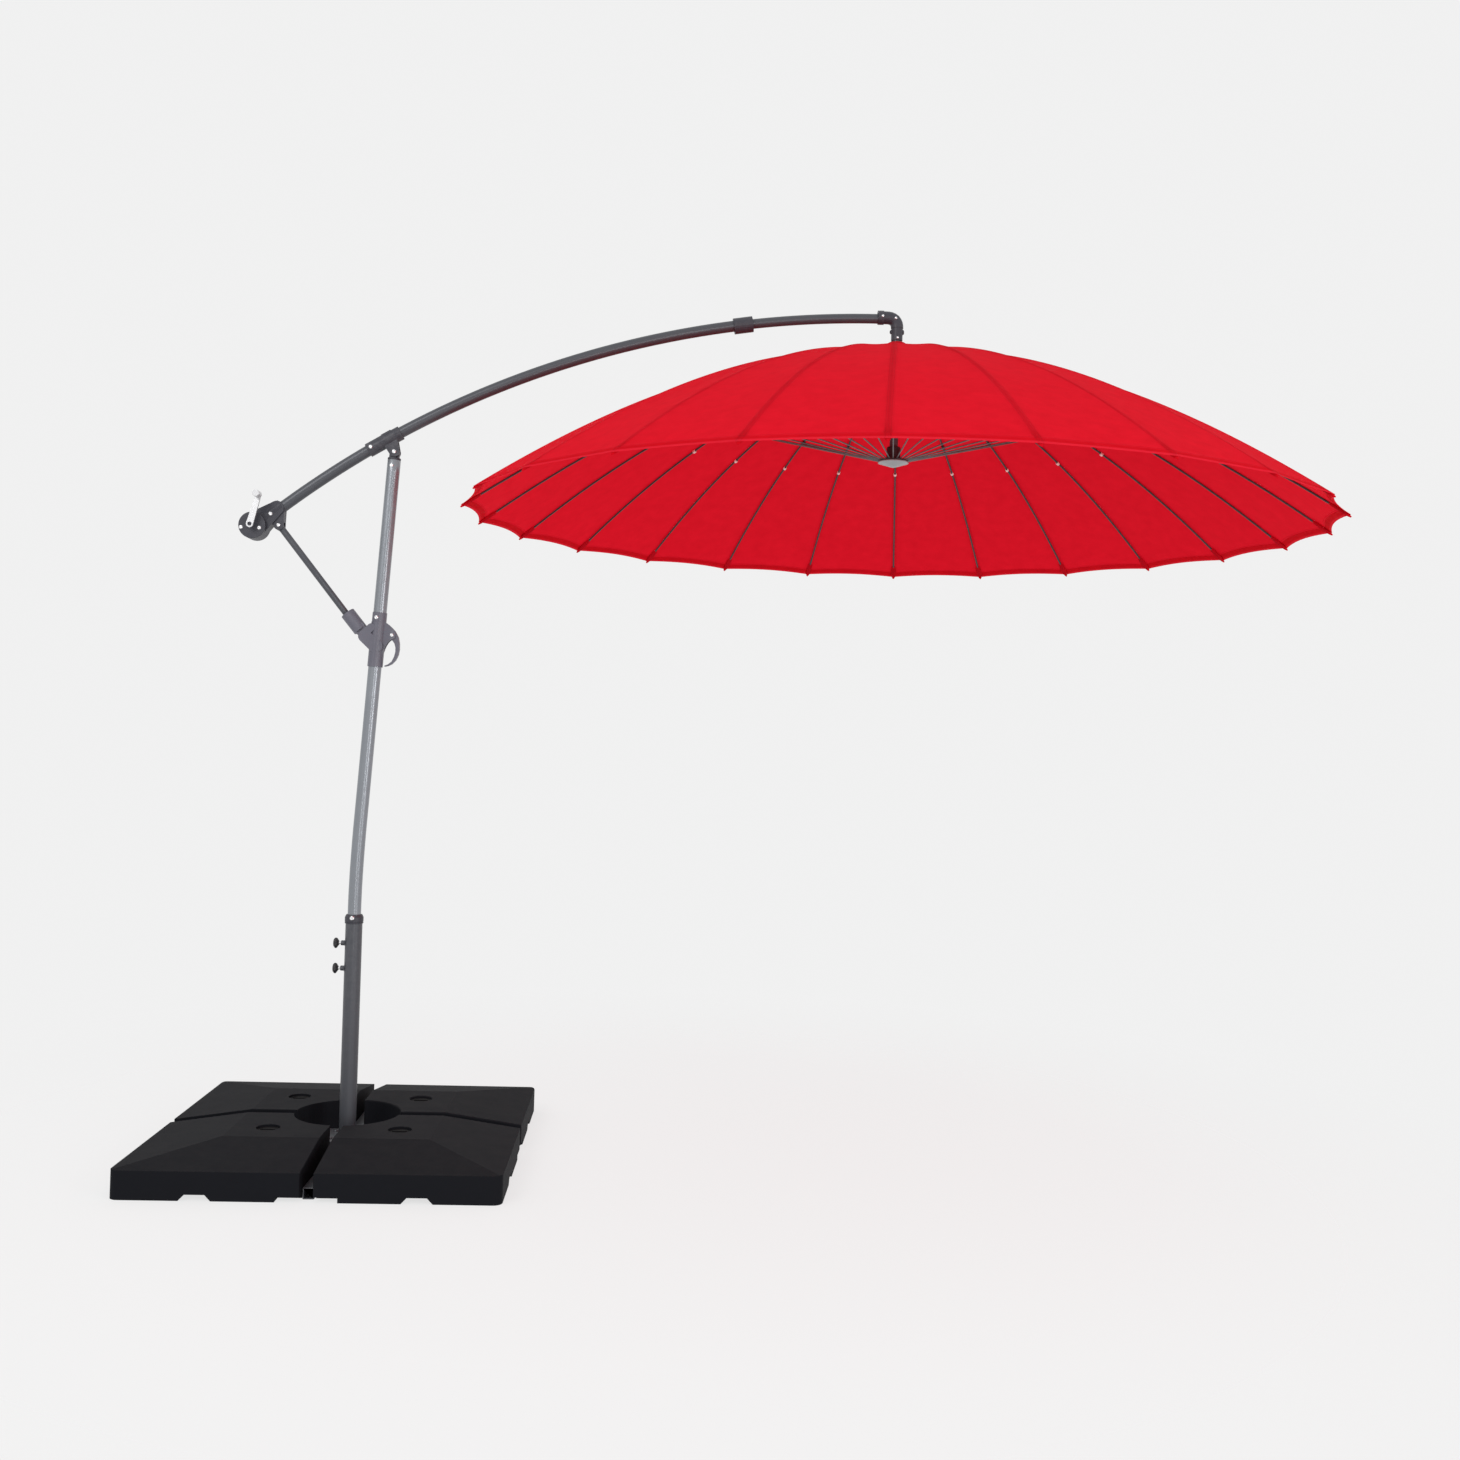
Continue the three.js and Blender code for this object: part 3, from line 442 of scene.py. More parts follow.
# Metres from a seam or from the hem; an edge fades out between its two values.
SEAM_EDGE, HEM_EDGE, TAPE_EDGE = (0.0105, 0.0075), (0.0275, 0.0255), (0.0085, 0.0065)
SEAM_ROW, HEM_ROW = 0.0062, 0.0235
SEAM_THREAD, HEM_THREAD = (0.0011, 0.0005), (0.0012, 0.0005)
STITCH_WAVE = 1500.0
LAYER_RISE, STITCH_DIP = 0.0007, 0.0006
TAPE_RED = (0.88, 0.035, 0.07)


def stitch_row(tree, distance, row, thread):
    """The mask of a line of thread at a distance from a seam or from the hem."""
    off_row = math_node(tree, "ABSOLUTE", math_node(tree, "SUBTRACT", distance, row))
    return spread_of(tree, off_row, *thread)


def cloth_finish(name, colour, deep, glow):
    material, tree, shader = material_of(name)
    woven = place_group(tree, weave, Threads=5200.0, Depth=0.00003)
    seam, hem, along = (node(tree, "ShaderNodeAttribute", attribute_name=label).outputs["Fac"]
                        for label in ("seam", "hem", "along"))
    both_rows = math_node(tree, "MAXIMUM", stitch_row(tree, seam, SEAM_ROW, SEAM_THREAD),
                          stitch_row(tree, hem, HEM_ROW, HEM_THREAD))
    stitch_wave = math_node(tree, "SINE", math_node(tree, "MULTIPLY", along, STITCH_WAVE))
    rows = math_node(tree, "MULTIPLY", both_rows, spread_of(tree, stitch_wave, -0.3, 0.2))
    layers_and_painted_seam_shade = math_node(tree, "MAXIMUM", spread_of(tree, seam, *SEAM_EDGE),
                             spread_of(tree, hem, *HEM_EDGE))
    height = math_node(tree, "ADD", woven.outputs["Height"],
                       math_node(tree, "MULTIPLY", layers_and_painted_seam_shade, LAYER_RISE))
    height = math_node(tree, "SUBTRACT", height, math_node(tree, "MULTIPLY", rows, STITCH_DIP))
    bump = node(tree, "ShaderNodeBump", Strength=0.7, Distance=1.0)
    tree.links.new(height, bump.inputs["Height"])
    shade = spread_of(tree, woven.outputs["Shade"], 0.3, 0.7)
    base = mix_colour(tree, shade, deep, colour)
    # Darker over the seam strips and the hem: along the seams this is painted shade of the ribs lying on
    # the cloth; over the hem it darkens the doubled cloth.
    base = mix_colour(tree, math_node(tree, "MULTIPLY", layers_and_painted_seam_shade, 0.22), base, deep)
    base = mix_colour(tree, math_node(tree, "MULTIPLY", rows, 0.35), base,
                      tuple(c * 0.45 for c in deep))
    tape = spread_of(tree, hem, *TAPE_EDGE)
    base = mix_colour(tree, math_node(tree, "MULTIPLY", tape, 0.6), base, TAPE_RED)
    tree.links.new(base, shader.inputs["Base Color"])
    tree.links.new(bump.outputs[0], shader.inputs["Normal"])
    shader.inputs["Roughness"].default_value = 0.78
    shader.inputs["Specular IOR Level"].default_value = 0.03
    through = node(tree, "ShaderNodeBsdfTranslucent")
    tree.links.new(base, through.inputs["Color"])
    tree.links.new(bump.outputs[0], through.inputs["Normal"])
    mixed = node(tree, "ShaderNodeMixShader")
    mixed.inputs[0].default_value = glow
    tree.links.new(shader.outputs[0], mixed.inputs[1])
    tree.links.new(through.outputs[0], mixed.inputs[2])
    tree.links.new(mixed.outputs[0], tree.nodes["Material Output"].inputs["Surface"])
    return material


red_cloth = cloth_finish("red_polyester", (0.745, 0.0075, 0.021), (0.675, 0.006, 0.0175), 0.5)
print("cloth finish", red_cloth.name)

# %% [markdown]
# ## Reading the frame's lines
# Every length below comes from the frame itself. A tube's rings give its centreline, the two arm
# tubes lie on one circle that a least-squares fit recovers, and one rib gives the canopy's profile.
# So a change of size in the frame carries through to the dressed pieces.

# %% Lines of the frame
def points_of(name):
    return np.array([v.co for v in frame["nodes"][name].data.vertices], float)


def ring_centres(name, along, apart):
    """Middles of the rings of points that a swept tube is made of, in order along a direction."""
    points = points_of(name)
    reach = points @ np.array(along, float)
    order = np.argsort(reach)
    points, reach = points[order], reach[order]
    starts = [0, *(np.nonzero(np.diff(reach) > apart)[0] + 1), len(reach)]
    return [Vector((points[a:b].min(0) + points[a:b].max(0)) / 2) for a, b in zip(starts, starts[1:])]


def smooth_line(points, steps):
    """A Catmull-Rom line through points, each span cut into steps."""
    padded = [2 * points[0] - points[1], *points, 2 * points[-1] - points[-2]]
    line = []
    for j in range(1, len(padded) - 2):
        p0, p1, p2, p3 = padded[j - 1:j + 3]
        for i in range(steps):
            t = i / steps
            line.append(0.5 * (2 * p1 + (p2 - p0) * t + (2 * p0 - 5 * p1 + 4 * p2 - p3) * t ** 2
                               + (3 * p1 - p0 - 3 * p2 + p3) * t ** 3))
    return [*line, points[-1]]


def joint_at(name):
    return Vector(joints[name]["pos_m"])


mast_line = smooth_line(ring_centres("mast_tube", (0, 0, 1), 0.03), 4)
lean = (mast_line[-1] - mast_line[-8]).normalized()


def on_mast(height):
    """The mast's centre at a height over the ground, above its bend."""
    top = mast_line[-1]
    return top + lean * ((height - top.z) / lean.z)


arm_points = np.vstack([points_of("arm_tube"), points_of("arm_end_tube")])[:, [0, 2]]
terms = np.column_stack([2 * arm_points, np.ones(len(arm_points))])
centre_x, centre_z, rest = np.linalg.lstsq(terms, (arm_points ** 2).sum(1), rcond=None)[0]
arm_radius = math.sqrt(rest + centre_x ** 2 + centre_z ** 2)


def arm_angles(name):
    p = points_of(name)
    angles = np.arctan2(centre_x - p[:, 0], p[:, 2] - centre_z)
    return angles.min(), angles.max()


def on_arm(angle):
    return Vector((centre_x - arm_radius * math.sin(angle), 0, centre_z + arm_radius * math.cos(angle)))


pole_low, pole_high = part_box("pole")
hub_axis = Vector(((pole_low.x + pole_high.x) / 2, 0, 0))
pivot_ring = [joint_at(f"rib_{k:02d}_fold") for k in range(24)]
rib_turns = [math.atan2(p.y, p.x - hub_axis.x) for p in pivot_ring]
first_rib = points_of("rib_00") - np.array([hub_axis.x, 0, 0])
rib_reach = first_rib @ np.array([math.cos(rib_turns[0]), math.sin(rib_turns[0]), 0])
order = np.argsort(rib_reach)
rib_rings = np.split(order, np.nonzero(np.diff(rib_reach[order]) > 0.03)[0] + 1)
rib_profile = [((rib_reach[g].min() + rib_reach[g].max()) / 2,
                (first_rib[g, 2].min() + first_rib[g, 2].max()) / 2) for g in rib_rings]
rib_fit = np.polyfit(*np.array(rib_profile).T, 5)
rib_slope = np.polyder(rib_fit)
one_ring = first_rib[rib_rings[3]]
rib_radius = float(np.linalg.norm(one_ring - one_ring.mean(0), axis=1).max())
canopy_points = points_of("canopy") - np.array([hub_axis.x, 0, 0])
canopy_reach = np.hypot(canopy_points[:, 0], canopy_points[:, 1]).max()
print("mast leans", round(math.degrees(math.atan(lean.x / lean.z)), 2), "degrees")
print("arm radius", round(arm_radius, 3), "canopy reach", round(canopy_reach, 4))
print("rib rings", len(rib_profile))

# %% [markdown]
# ## Base
# The slabs keep the frame's shape: two modifiers join the frame's triangles back into whole faces and
# round every edge, as a blow-moulded shell is. Each has a filler plug with a raised grip bar in its
# recess; the plug is blacker than the shell, painted shade of the deep recess it sits in. The base
# tube is turned again with a weld bead at its foot and two welded nuts.

# %% Dressing a frame node
def dress(name, material, bevel=0.0, segments=2, angle=30):
    """Gives a frame node its finish, and rounds its edges with modifiers only."""
    obj = frame["nodes"][name]
    obj.data.materials.clear()
    obj.data.materials.append(material)
    weld = obj.modifiers.new("joined", "WELD")
    weld.merge_threshold = 0.00002
    flat = obj.modifiers.new("whole_faces", "DECIMATE")
    flat.decimate_type = "DISSOLVE"
    flat.angle_limit = math.radians(0.6)
    if bevel:
        round_edges(obj, bevel, segments, angle)
    return obj


# %% Slabs and filler plugs
def filler_plug(name, place, body):
    rim, deep = 0.0322, 0.0035
    profile = [(0.0, 0.0), (0.0045, 0.0), (rim - 0.008, 0.0), (rim - 0.007, -0.0012),
               *arc(0.0018, (rim - 0.0045, -0.0008), 180, 20, 6), (rim, -0.0014), (rim, -deep)]
    profile = [(r, deep + h) for r, h in profile]
    turned_piece(name, profile, place, UP, body, plug_black_and_painted_recess_shade, sides=72)
    bar, half, high = 0.021, 0.0022, 0.0028
    ridge = [(x, y, z) for z in (deep - 0.001, deep + high) for x in (-bar, bar) for y in (-half, half)]
    box_faces = [(0, 1, 3, 2), (4, 6, 7, 5), (0, 4, 5, 1), (2, 3, 7, 6), (0, 2, 6, 4), (1, 5, 7, 3)]
    add_piece(name + "_grip", [Vector(p) + place for p in ridge], box_faces, body, plug_black_and_painted_recess_shade,
              solid_bevel=0.0012)


for name in ("slab_back_right", "slab_back_left", "slab_front_left", "slab_front_right"):
    dress(name, slab_finish, bevel=0.006, segments=4, angle=12)
    points = points_of(name)
    crown = points[:, 2].max()
    floor_of_recess = sorted({round(z, 4) for z in points[:, 2] if 0.05 < z < crown - 0.004})
    dish = points[np.abs(points[:, 2] - floor_of_recess[-1]) < 0.0002]
    middle = (dish.min(0) + dish.max(0)) / 2
    filler_plug(name.replace("slab", "plug"), Vector(middle) + Vector((0, 0, 0.0004)), "base")
for name in ("cross_beam", "cross_leg_back", "cross_leg_front"):
    dress(name, anthracite, bevel=0.0015)
print("slabs dressed, crown at", round(crown, 4))

# %% Base tube, collar and foot bolts
def bolt(name, place, facing, radius, body, material=zinc, drive=True):
    """A round head on a surface, with a socket drive or, for a nut, a plain crown."""
    shares = [(0, 0.22), (0.36, 0.22), (0.4, 0.55)] if drive else [(0, 0.62)]
    shares += [(0.52, 0.6), (0.75, 0.5), (0.92, 0.3), (1, 0.06), (1, -0.3)]
    profile = [(radius * r, radius * h) for r, h in shares]
    turned_piece(name, profile, place, facing, body, material, sides=36, sharp=50)


tube_low, tube_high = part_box("base_tube")
tube_points = points_of("base_tube")
above_flange = tube_points[:, 2] > 0.3
tube_radius = tube_points[above_flange, 1].max()
foot, head = tube_low.z, tube_high.z
flange = max(tube_high.x, tube_high.y)
wall = 0.0024
nut_end = 0.035
knob_labels = ("upper", "lower")
knobs = [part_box(f"thumb_knob_{label}") for label in knob_labels]
knob_heights = [(low.z + high.z) / 2 for low, high in knobs]
profile = [(tube_radius - wall, foot), (flange - 0.001, foot), (flange, foot + 0.001),
           (flange, foot + 0.005), (flange - 0.001, foot + 0.006), (tube_radius + 0.006, foot + 0.006),
           *arc(0.005, (tube_radius + 0.0055, foot + 0.0105), 270, 190, 6), (tube_radius, foot + 0.014),
           (tube_radius, head - 0.001), (tube_radius - 0.001, head), (tube_radius - wall, head)]
base_tube = turned_piece("base_tube_turned", profile, (0, 0, 0), UP, "base", anthracite,
                         sides=72, closed=True)
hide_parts("base_tube")
start = tube_radius - 0.002
stand = nut_end - start
profile = [(0.0042, 0.0), (0.0042, stand), (0.0062, stand), (0.0074, stand - 0.0012), (0.0074, 0.004),
           (0.0088, 0.002), (0.0105, 0.0)]
for label, height in zip(knob_labels, knob_heights):
    turned_piece(f"welded_nut_{label}", profile, (-start, 0, height), (-1, 0, 0), "base", anthracite,
                 sides=48)
for k in range(4):
    a = math.radians(45 + 90 * k)
    spot = Vector((math.cos(a), math.sin(a), 0)) * (flange * 0.72)
    bolt(f"foot_bolt_{k}", spot + Vector((0, 0, foot + 0.0062)), UP, 0.0075, "base", anthracite)
print("base tube radius", round(tube_radius, 4), "nut to", round(nut_end, 4))

# %% Collar and thumb knobs
collar_low, collar_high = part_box("tube_collar")
low_z, high_z = collar_low.z, collar_high.z
r_out = collar_high.x
r_in = 0.0196
profile = [(r_in, high_z - 0.0002), *arc(0.0022, (r_out - 0.0052, high_z - 0.0022), 90, 30, 5),
           (r_out - 0.0008, high_z - 0.0065), (r_out, high_z - 0.0078), (r_out, low_z + 0.0062),
           (r_out - 0.0012, low_z + 0.0056), (r_out - 0.0012, low_z + 0.0044), (r_out, low_z + 0.0038),
           (r_out, low_z + 0.001), (r_out - 0.001, low_z), (tube_radius + 0.0004, low_z),
           (tube_radius + 0.0004, head + 0.0004), (r_in, head + 0.0004)]
collar = turned_piece("collar_turned", profile, (0, 0, 0), UP, "base", dark_plastic,
                      sides=72, closed=True)
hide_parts("tube_collar")
bolt("collar_bolt", Vector((-0.001, -r_out + 0.0008, high_z - 0.0092)), (-0.04, -1, 0), 0.0068, "base")

for label, (low, high), height in zip(knob_labels, knobs, knob_heights):
    length = high.x - low.x
    outline = [(0.0044, 0.0), (0.0062, 0.0), (0.0075, length * 0.08), (0.0150, length * 0.4),
               (0.0155, length * 0.5), (0.0155, length * 0.66), (0.0148, length * 0.76),
               (0.0118, length * 0.95), (0.0105, length), (0.0, length * 0.985)]
    vertices, faces = turned(outline, (high.x, 0, height), (-1, 0, 0), sides=84)
    for v in vertices:
        out = Vector((0, v.y, v.z - height))
        lobes = math.cos(7 * math.atan2(out.z, out.y))
        share = max(0.0, (out.length - 0.0095) / 0.006)
        v -= out * (0.055 * (1 - lobes) * min(1.0, share))
    knob = add_piece(f"thumb_knob_{label}_turned", vertices, faces, f"knob_{label}", black_plastic,
                     sharp=40)
    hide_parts(f"thumb_knob_{label}")
    dress(f"thumb_stem_{label}", zinc)
print("collar outer radius", round(r_out, 4))

# %% [markdown]
# ## Mast, strut and arm tubes
# Each tube is swept along the centreline that the frame gave, with a small rolled edge at open ends.
# Arm, strut and pole share the anthracite paint; the mast has a lighter copy of it, whose extra
# lightness is painted light for the light falling on the mast.

# %% Tubes
def tube_along(name, line, radius, wall, body, replaced, sides=40, finish=anthracite):
    lip = 0.0006
    line = [line[0], line[0] + (line[1] - line[0]).normalized() * lip, *line[1:-1],
            line[-1] - (line[-1] - line[-2]).normalized() * lip, line[-1]]
    radii = [radius - lip, *[radius] * (len(line) - 2), radius - lip]
    vertices, faces = swept(line, radii, sides=sides, hollow=wall)
    obj = add_piece(name, vertices, faces, body, finish, sharp=50)
    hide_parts(replaced)
    return obj


mast_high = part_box("mast_tube")[1]
mast_radius = mast_high.y
tube_along("mast_tube_swept", mast_line, mast_radius, 0.0016, "mast", "mast_tube", sides=48,
           finish=mast_paint_lightened_painted_light)
arm_low, arm_high = arm_angles("arm_tube")
arm_tube_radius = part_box("arm_tube")[1].y
tube_along("arm_tube_swept", [on_arm(a) for a in np.linspace(arm_high, arm_low, 72)], arm_tube_radius,
           0.0016, "arm", "arm_tube")
end_low, end_high = arm_angles("arm_end_tube")
end_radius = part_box("arm_end_tube")[1].y
tube_along("arm_end_tube_swept", [on_arm(a) for a in np.linspace(end_high, end_low, 24)], end_radius,
           0.0015, "arm", "arm_end_tube")

strut_top = joint_at("strut_swing")
strut_away = points_of("strut_tube") - np.array(strut_top)
far = strut_away[np.argsort((strut_away ** 2).sum(1))[-12:]]
strut_down = Vector(far.mean(0)).normalized()
strut_down.y = 0
strut_down.normalize()
strut_reach = max(Vector(p).dot(strut_down) for p in strut_away)
strut_radius = 0.0095
strut_line = [strut_top + strut_down * d for d in (0.006, 0.02, strut_reach - 0.001, strut_reach)]
vertices, faces = swept(strut_line, [*[strut_radius] * 3, strut_radius - 0.0006], sides=36, hollow=0.0015)
strut_tube = add_piece("strut_tube_swept", vertices, faces, "strut", anthracite, sharp=50)
turned_piece("strut_eye", short_tube(0.0034, 0.011, 0.009, 0.0008, 0.0008), strut_top, FAR, "strut",
             anthracite, sides=48, closed=True)
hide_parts("strut_tube")
print("strut", round(strut_reach, 4), "m, pointing", [round(v, 3) for v in strut_down])

# %% [markdown]
# ## Moulded fittings
# The slider, its lever, the strut socket, the tee with its clevis, the elbow, the arm collar and the
# crank housing keep the frame's shapes with rounded edges. Their bolts are the bright points that
# the eye finds first, so each gets a real head.

# %% Fittings
for name, width in (("slider_sleeve", 0.0014), ("slider_lever", 0.0024), ("strut_socket", 0.0012),
                    ("mast_cap", 0.0012), ("tee_sleeve", 0.0016), ("elbow", 0.0018),
                    ("arm_collar", 0.0014), ("crank_housing", 0.0020), ("crank_cover", 0.0012),
                    ("top_hub", 0.0006), ("cord_drum", 0.0008)):
    dress(name, slider_grey if name in ("slider_sleeve", "slider_lever", "strut_socket") else dark_plastic,
          bevel=width, angle=28)
dress("tilt_pin", zinc, bevel=0.0006)


def through_bolt(name, place, half, radius, body):
    """A bolt's head on the near side of a pivot and its nut on the far side."""
    bolt(f"{name}_bolt", place + Vector((0, -half, 0)), NEAR, radius, body)
    bolt(f"{name}_nut", place + Vector((0, half, 0)), FAR, radius, body, drive=False)


neck = on_mast(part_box("slider_sleeve")[1].z - 0.0165)
bolt("neck_bolt", neck + Vector((-0.0055, -0.0197, 0)), (-0.26, -1, 0), 0.0062, "slider")
through_bolt("fin", joint_at("lever_pull"), 0.0119, 0.006, "slider")
cap_spot = on_mast(mast_high.z - 0.019)
bolt("cap_bolt", cap_spot + Vector((-0.003, -mast_radius + 0.0008, 0)), (-0.12, -1, 0), 0.006, "mast")
through_bolt("tilt", joint_at("arm_tilt"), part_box("tilt_pin")[1].y - 0.0022, 0.0068, "mast")
tee_radius = 0.0205
tee_spot = on_arm(arm_angles("tee_sleeve")[1] - 0.0115 / arm_radius)
bolt("tee_bolt", tee_spot + Vector((0, -tee_radius + 0.0006, 0.002)), NEAR, 0.006, "arm")

crank_centre = joint_at("crank_turn")
cover_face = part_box("crank_cover")[0].y
for label, dx, dz in (("left", -0.030, -0.0075), ("right", 0.0217, -0.0078)):
    bolt(f"housing_bolt_{label}", Vector((crank_centre.x + dx, cover_face, crank_centre.z + dz)), NEAR,
         0.0062, "arm")
bolt("housing_bolt_arm", crank_centre + Vector((0.0494, -0.0203, 0.0356)), NEAR, 0.0062, "arm")
through_bolt("strut", strut_top, 0.0146, 0.006, "arm")

elbow_low, elbow_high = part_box("elbow")
leg_bottom = elbow_low.z
corner = Vector((hub_axis.x, 0, elbow_high.z - 0.0205))
for label, dx, dz, stand in (("left", -0.046, 0.0, 0.0203), ("right", -0.007, -0.004, 0.0178)):
    bolt(f"elbow_bolt_{label}", corner + Vector((dx, -stand, dz)), NEAR, 0.0042, "arm")
through_height = leg_bottom + 0.026
bolt("leg_bolt", Vector((hub_axis.x - 0.0165, 0, through_height)), (-1, -0.3, 0), 0.0068, "arm",
     dark_plastic)
bolt("leg_nut", Vector((hub_axis.x + 0.0165, 0, through_height)), (1, -0.3, 0), 0.0076, "arm",
     dark_plastic, drive=False)
bolt("leg_screw", Vector((hub_axis.x, -0.0162, leg_bottom + 0.006)), NEAR, 0.0038, "arm")

# %% Crank handle and grip
dress("crank_handle", lever_metal, bevel=0.0014, segments=3)
dress("crank_knob", silver_grey, bevel=0.003, segments=4)
bolt("crank_hub_bolt", Vector((crank_centre.x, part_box("crank_handle")[0].y + 0.0302, crank_centre.z)),
     NEAR, 0.006, "crank", dark_plastic)
print("crank axis", [round(v, 3) for v in crank_centre])

# %% [markdown]
# ## Canopy cloth
# The cloth is 24 gores. A gore runs between two neighbouring ribs: nearly straight across, sagging a
# few millimetres where the tension lets it, and turning over each rib in a soft ridge so that two
# gores meet without a step. Its hem is cut in a shallow curve between the rib tips and folded
# under. Each gore rides with its rib.

# %% Canopy measures
RIBS = len(pivot_ring)
HALF_STEP = math.pi / RIBS
cloth_lift = rib_radius + 0.0019
tip_reach = canopy_reach - 0.0016
hole_reach = np.hypot(canopy_points[:, 0], canopy_points[:, 1]).min()
HEM_DEPTH = 0.024
SAG = 0.0055
RIDGE_WIDTH = 0.009
NO_SEAM = 0.05
hem_cut = 0.0125 * tip_reach


def outward(turn):
    """Level, straight out from the pole."""
    return Vector((math.cos(turn), math.sin(turn), 0))


def beside(turn):
    """Level, square to straight out."""
    return Vector((-math.sin(turn), math.cos(turn), 0))


def rib_height(reach):
    return float(np.polyval(rib_fit, reach))


def rib_tilt(reach):
    return math.atan(-float(np.polyval(rib_slope, reach)))


def cloth_on_rib(reach, lift=cloth_lift):
    """(distance from the pole, height) of the cloth over a rib."""
    tilt = rib_tilt(reach)
    return reach + lift * math.sin(tilt), rib_height(reach) + lift * math.cos(tilt)


def cloth_point(reach, across, turn):
    """A point of the gore that starts at a turn; across runs from 0 at its first rib to 1."""
    share = reach / tip_reach
    bow = 4 * across * (1 - across)
    cut_back = hem_cut * bow * share ** 6
    out, height = cloth_on_rib(reach)
    height += 0.55 * cut_back * math.tan(rib_tilt(reach))
    out -= cut_back
    a = outward(turn) * out
    b = outward(turn + 2 * HALF_STEP) * out
    chord = (b - a).length
    point = a.lerp(b, across)
    tilt = rib_tilt(reach)
    square = outward(turn + HALF_STEP) * math.sin(tilt) + Vector((0, 0, math.cos(tilt)))
    near_rib = chord * min(across, 1 - across)
    width = min(RIDGE_WIDTH, chord / 7)
    ridge = math.sin(tilt) * math.tan(HALF_STEP) * near_rib * math.exp(-near_rib / width)
    sag = SAG * bow * (math.sin(math.pi * share) ** 2 * 0.8 + 0.2 * share)
    point.z = height
    return hub_axis + point + square * (ridge - sag)


ACROSS = [0, .012, .03, .055, .09, .14, .2, .28, .36, .44, .5]
ACROSS += [1 - a for a in ACROSS[-2::-1]]
REACHES = [hole_reach + (tip_reach - hole_reach) * (i / 44) ** 0.92 for i in range(45)]
print("cloth from", round(hole_reach, 4), "to", round(tip_reach, 4))

# %% Gores
def mark_cloth(obj, threads, seam=None, hem=None, along=None):
    """Writes what the cloth finish reads: each point's place on the weave and its distances."""
    for label, values in (("seam", seam), ("hem", hem), ("along", along)):
        marks = obj.data.attributes.new(label, "FLOAT", "POINT")
        marks.data.foreach_set("value", values or [NO_SEAM] * len(threads))
    layer = obj.data.uv_layers.new(name="UVMap")
    for loop in obj.data.loops:
        layer.data[loop.index].uv = threads[loop.vertex_index]


def gore(k):
    turn = rib_turns[k]
    columns, rows = len(ACROSS), []
    hem_steps = [(0.0, 0.0009), (0.004, 0.0014), (HEM_DEPTH * 0.6, 0.0013), (HEM_DEPTH, 0.0007)]
    for reach in REACHES:
        rows.append([(cloth_point(reach, v, turn), reach) for v in ACROSS])
    down = Vector((0, 0, -1))
    for inset, under in hem_steps:
        reach = tip_reach - inset
        row = []
        for v in ACROSS:
            edge = cloth_point(tip_reach, v, turn)
            inward = (cloth_point(tip_reach - 0.03, v, turn) - edge).normalized()
            row.append((edge + inward * inset + down * under, reach))
        rows.append(row)
    vertices = [p for row in rows for p, _ in row]
    faces = []
    for j in range(len(rows) - 1):
        for i in range(columns - 1):
            a = j * columns + i
            faces.append((a, a + columns, a + columns + 1, a + 1))
    obj = add_piece(f"gore_{k:02d}", vertices, faces, f"rib_{k:02d}", red_cloth, sharp=60)
    seam, hem, along, threads = [], [], [], []
    for row in rows:
        width = (row[-1][0] - row[0][0]).length
        for (_, reach), v in zip(row, ACROSS):
            seam.append(width * min(v, 1 - v))
            hem.append(tip_reach - reach)
            along.append(reach)
            threads.append((reach, width * (v - 0.5)))
    mark_cloth(obj, threads, seam, hem, along)
    return obj


gores = [gore(k) for k in range(RIBS)]
gore_width = (cloth_point(tip_reach, 0, 0) - cloth_point(tip_reach, 1, 0)).length
middle_line = [cloth_point(reach, 0.5, 0) for reach in REACHES]

# %% Rib tip pockets
def pocket(k):
    """A little cloth sleeve sewn under the hem, which holds a rib's tip."""
    out, side = outward(rib_turns[k]), beside(rib_turns[k])
    vertices, faces, threads, sides = [], [], [], 14
    steps = [(0.052, 0.0045, 0.0016), (0.046, 0.0085, 0.0036), (0.03, 0.0098, 0.0044),
             (0.012, 0.0085, 0.0042), (0.002, 0.0055, 0.0036), (-0.0045, 0.002, 0.0018)]
    for inset, wide, thick in steps:
        reach = tip_reach - inset
        tilt = rib_tilt(reach)
        spot = hub_axis + out * reach + Vector((0, 0, rib_height(reach) + 0.0005))
        lift = out * math.sin(tilt) + Vector((0, 0, math.cos(tilt)))
        for i in range(sides):
            a = 2 * math.pi * i / sides
            vertices.append(spot + side * wide * math.cos(a) + lift * (thick * math.sin(a) - 0.0006))
            threads.append((inset, i * 0.0035))
    for j in range(len(steps) - 1):
        faces += ring_faces(j * sides, (j + 1) * sides, sides)
    faces += end_caps((len(steps) - 1) * sides, sides)
    obj = add_piece(f"tip_pocket_{k:02d}", vertices, faces, f"rib_{k:02d}", red_cloth, sharp=60)
    mark_cloth(obj, threads)
    return obj


pockets = [pocket(k) for k in range(RIBS)]
for k, piece in enumerate(gores):
    turn = rib_turns[k]
    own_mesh(piece)
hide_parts("canopy")
print("pockets", len(pockets))

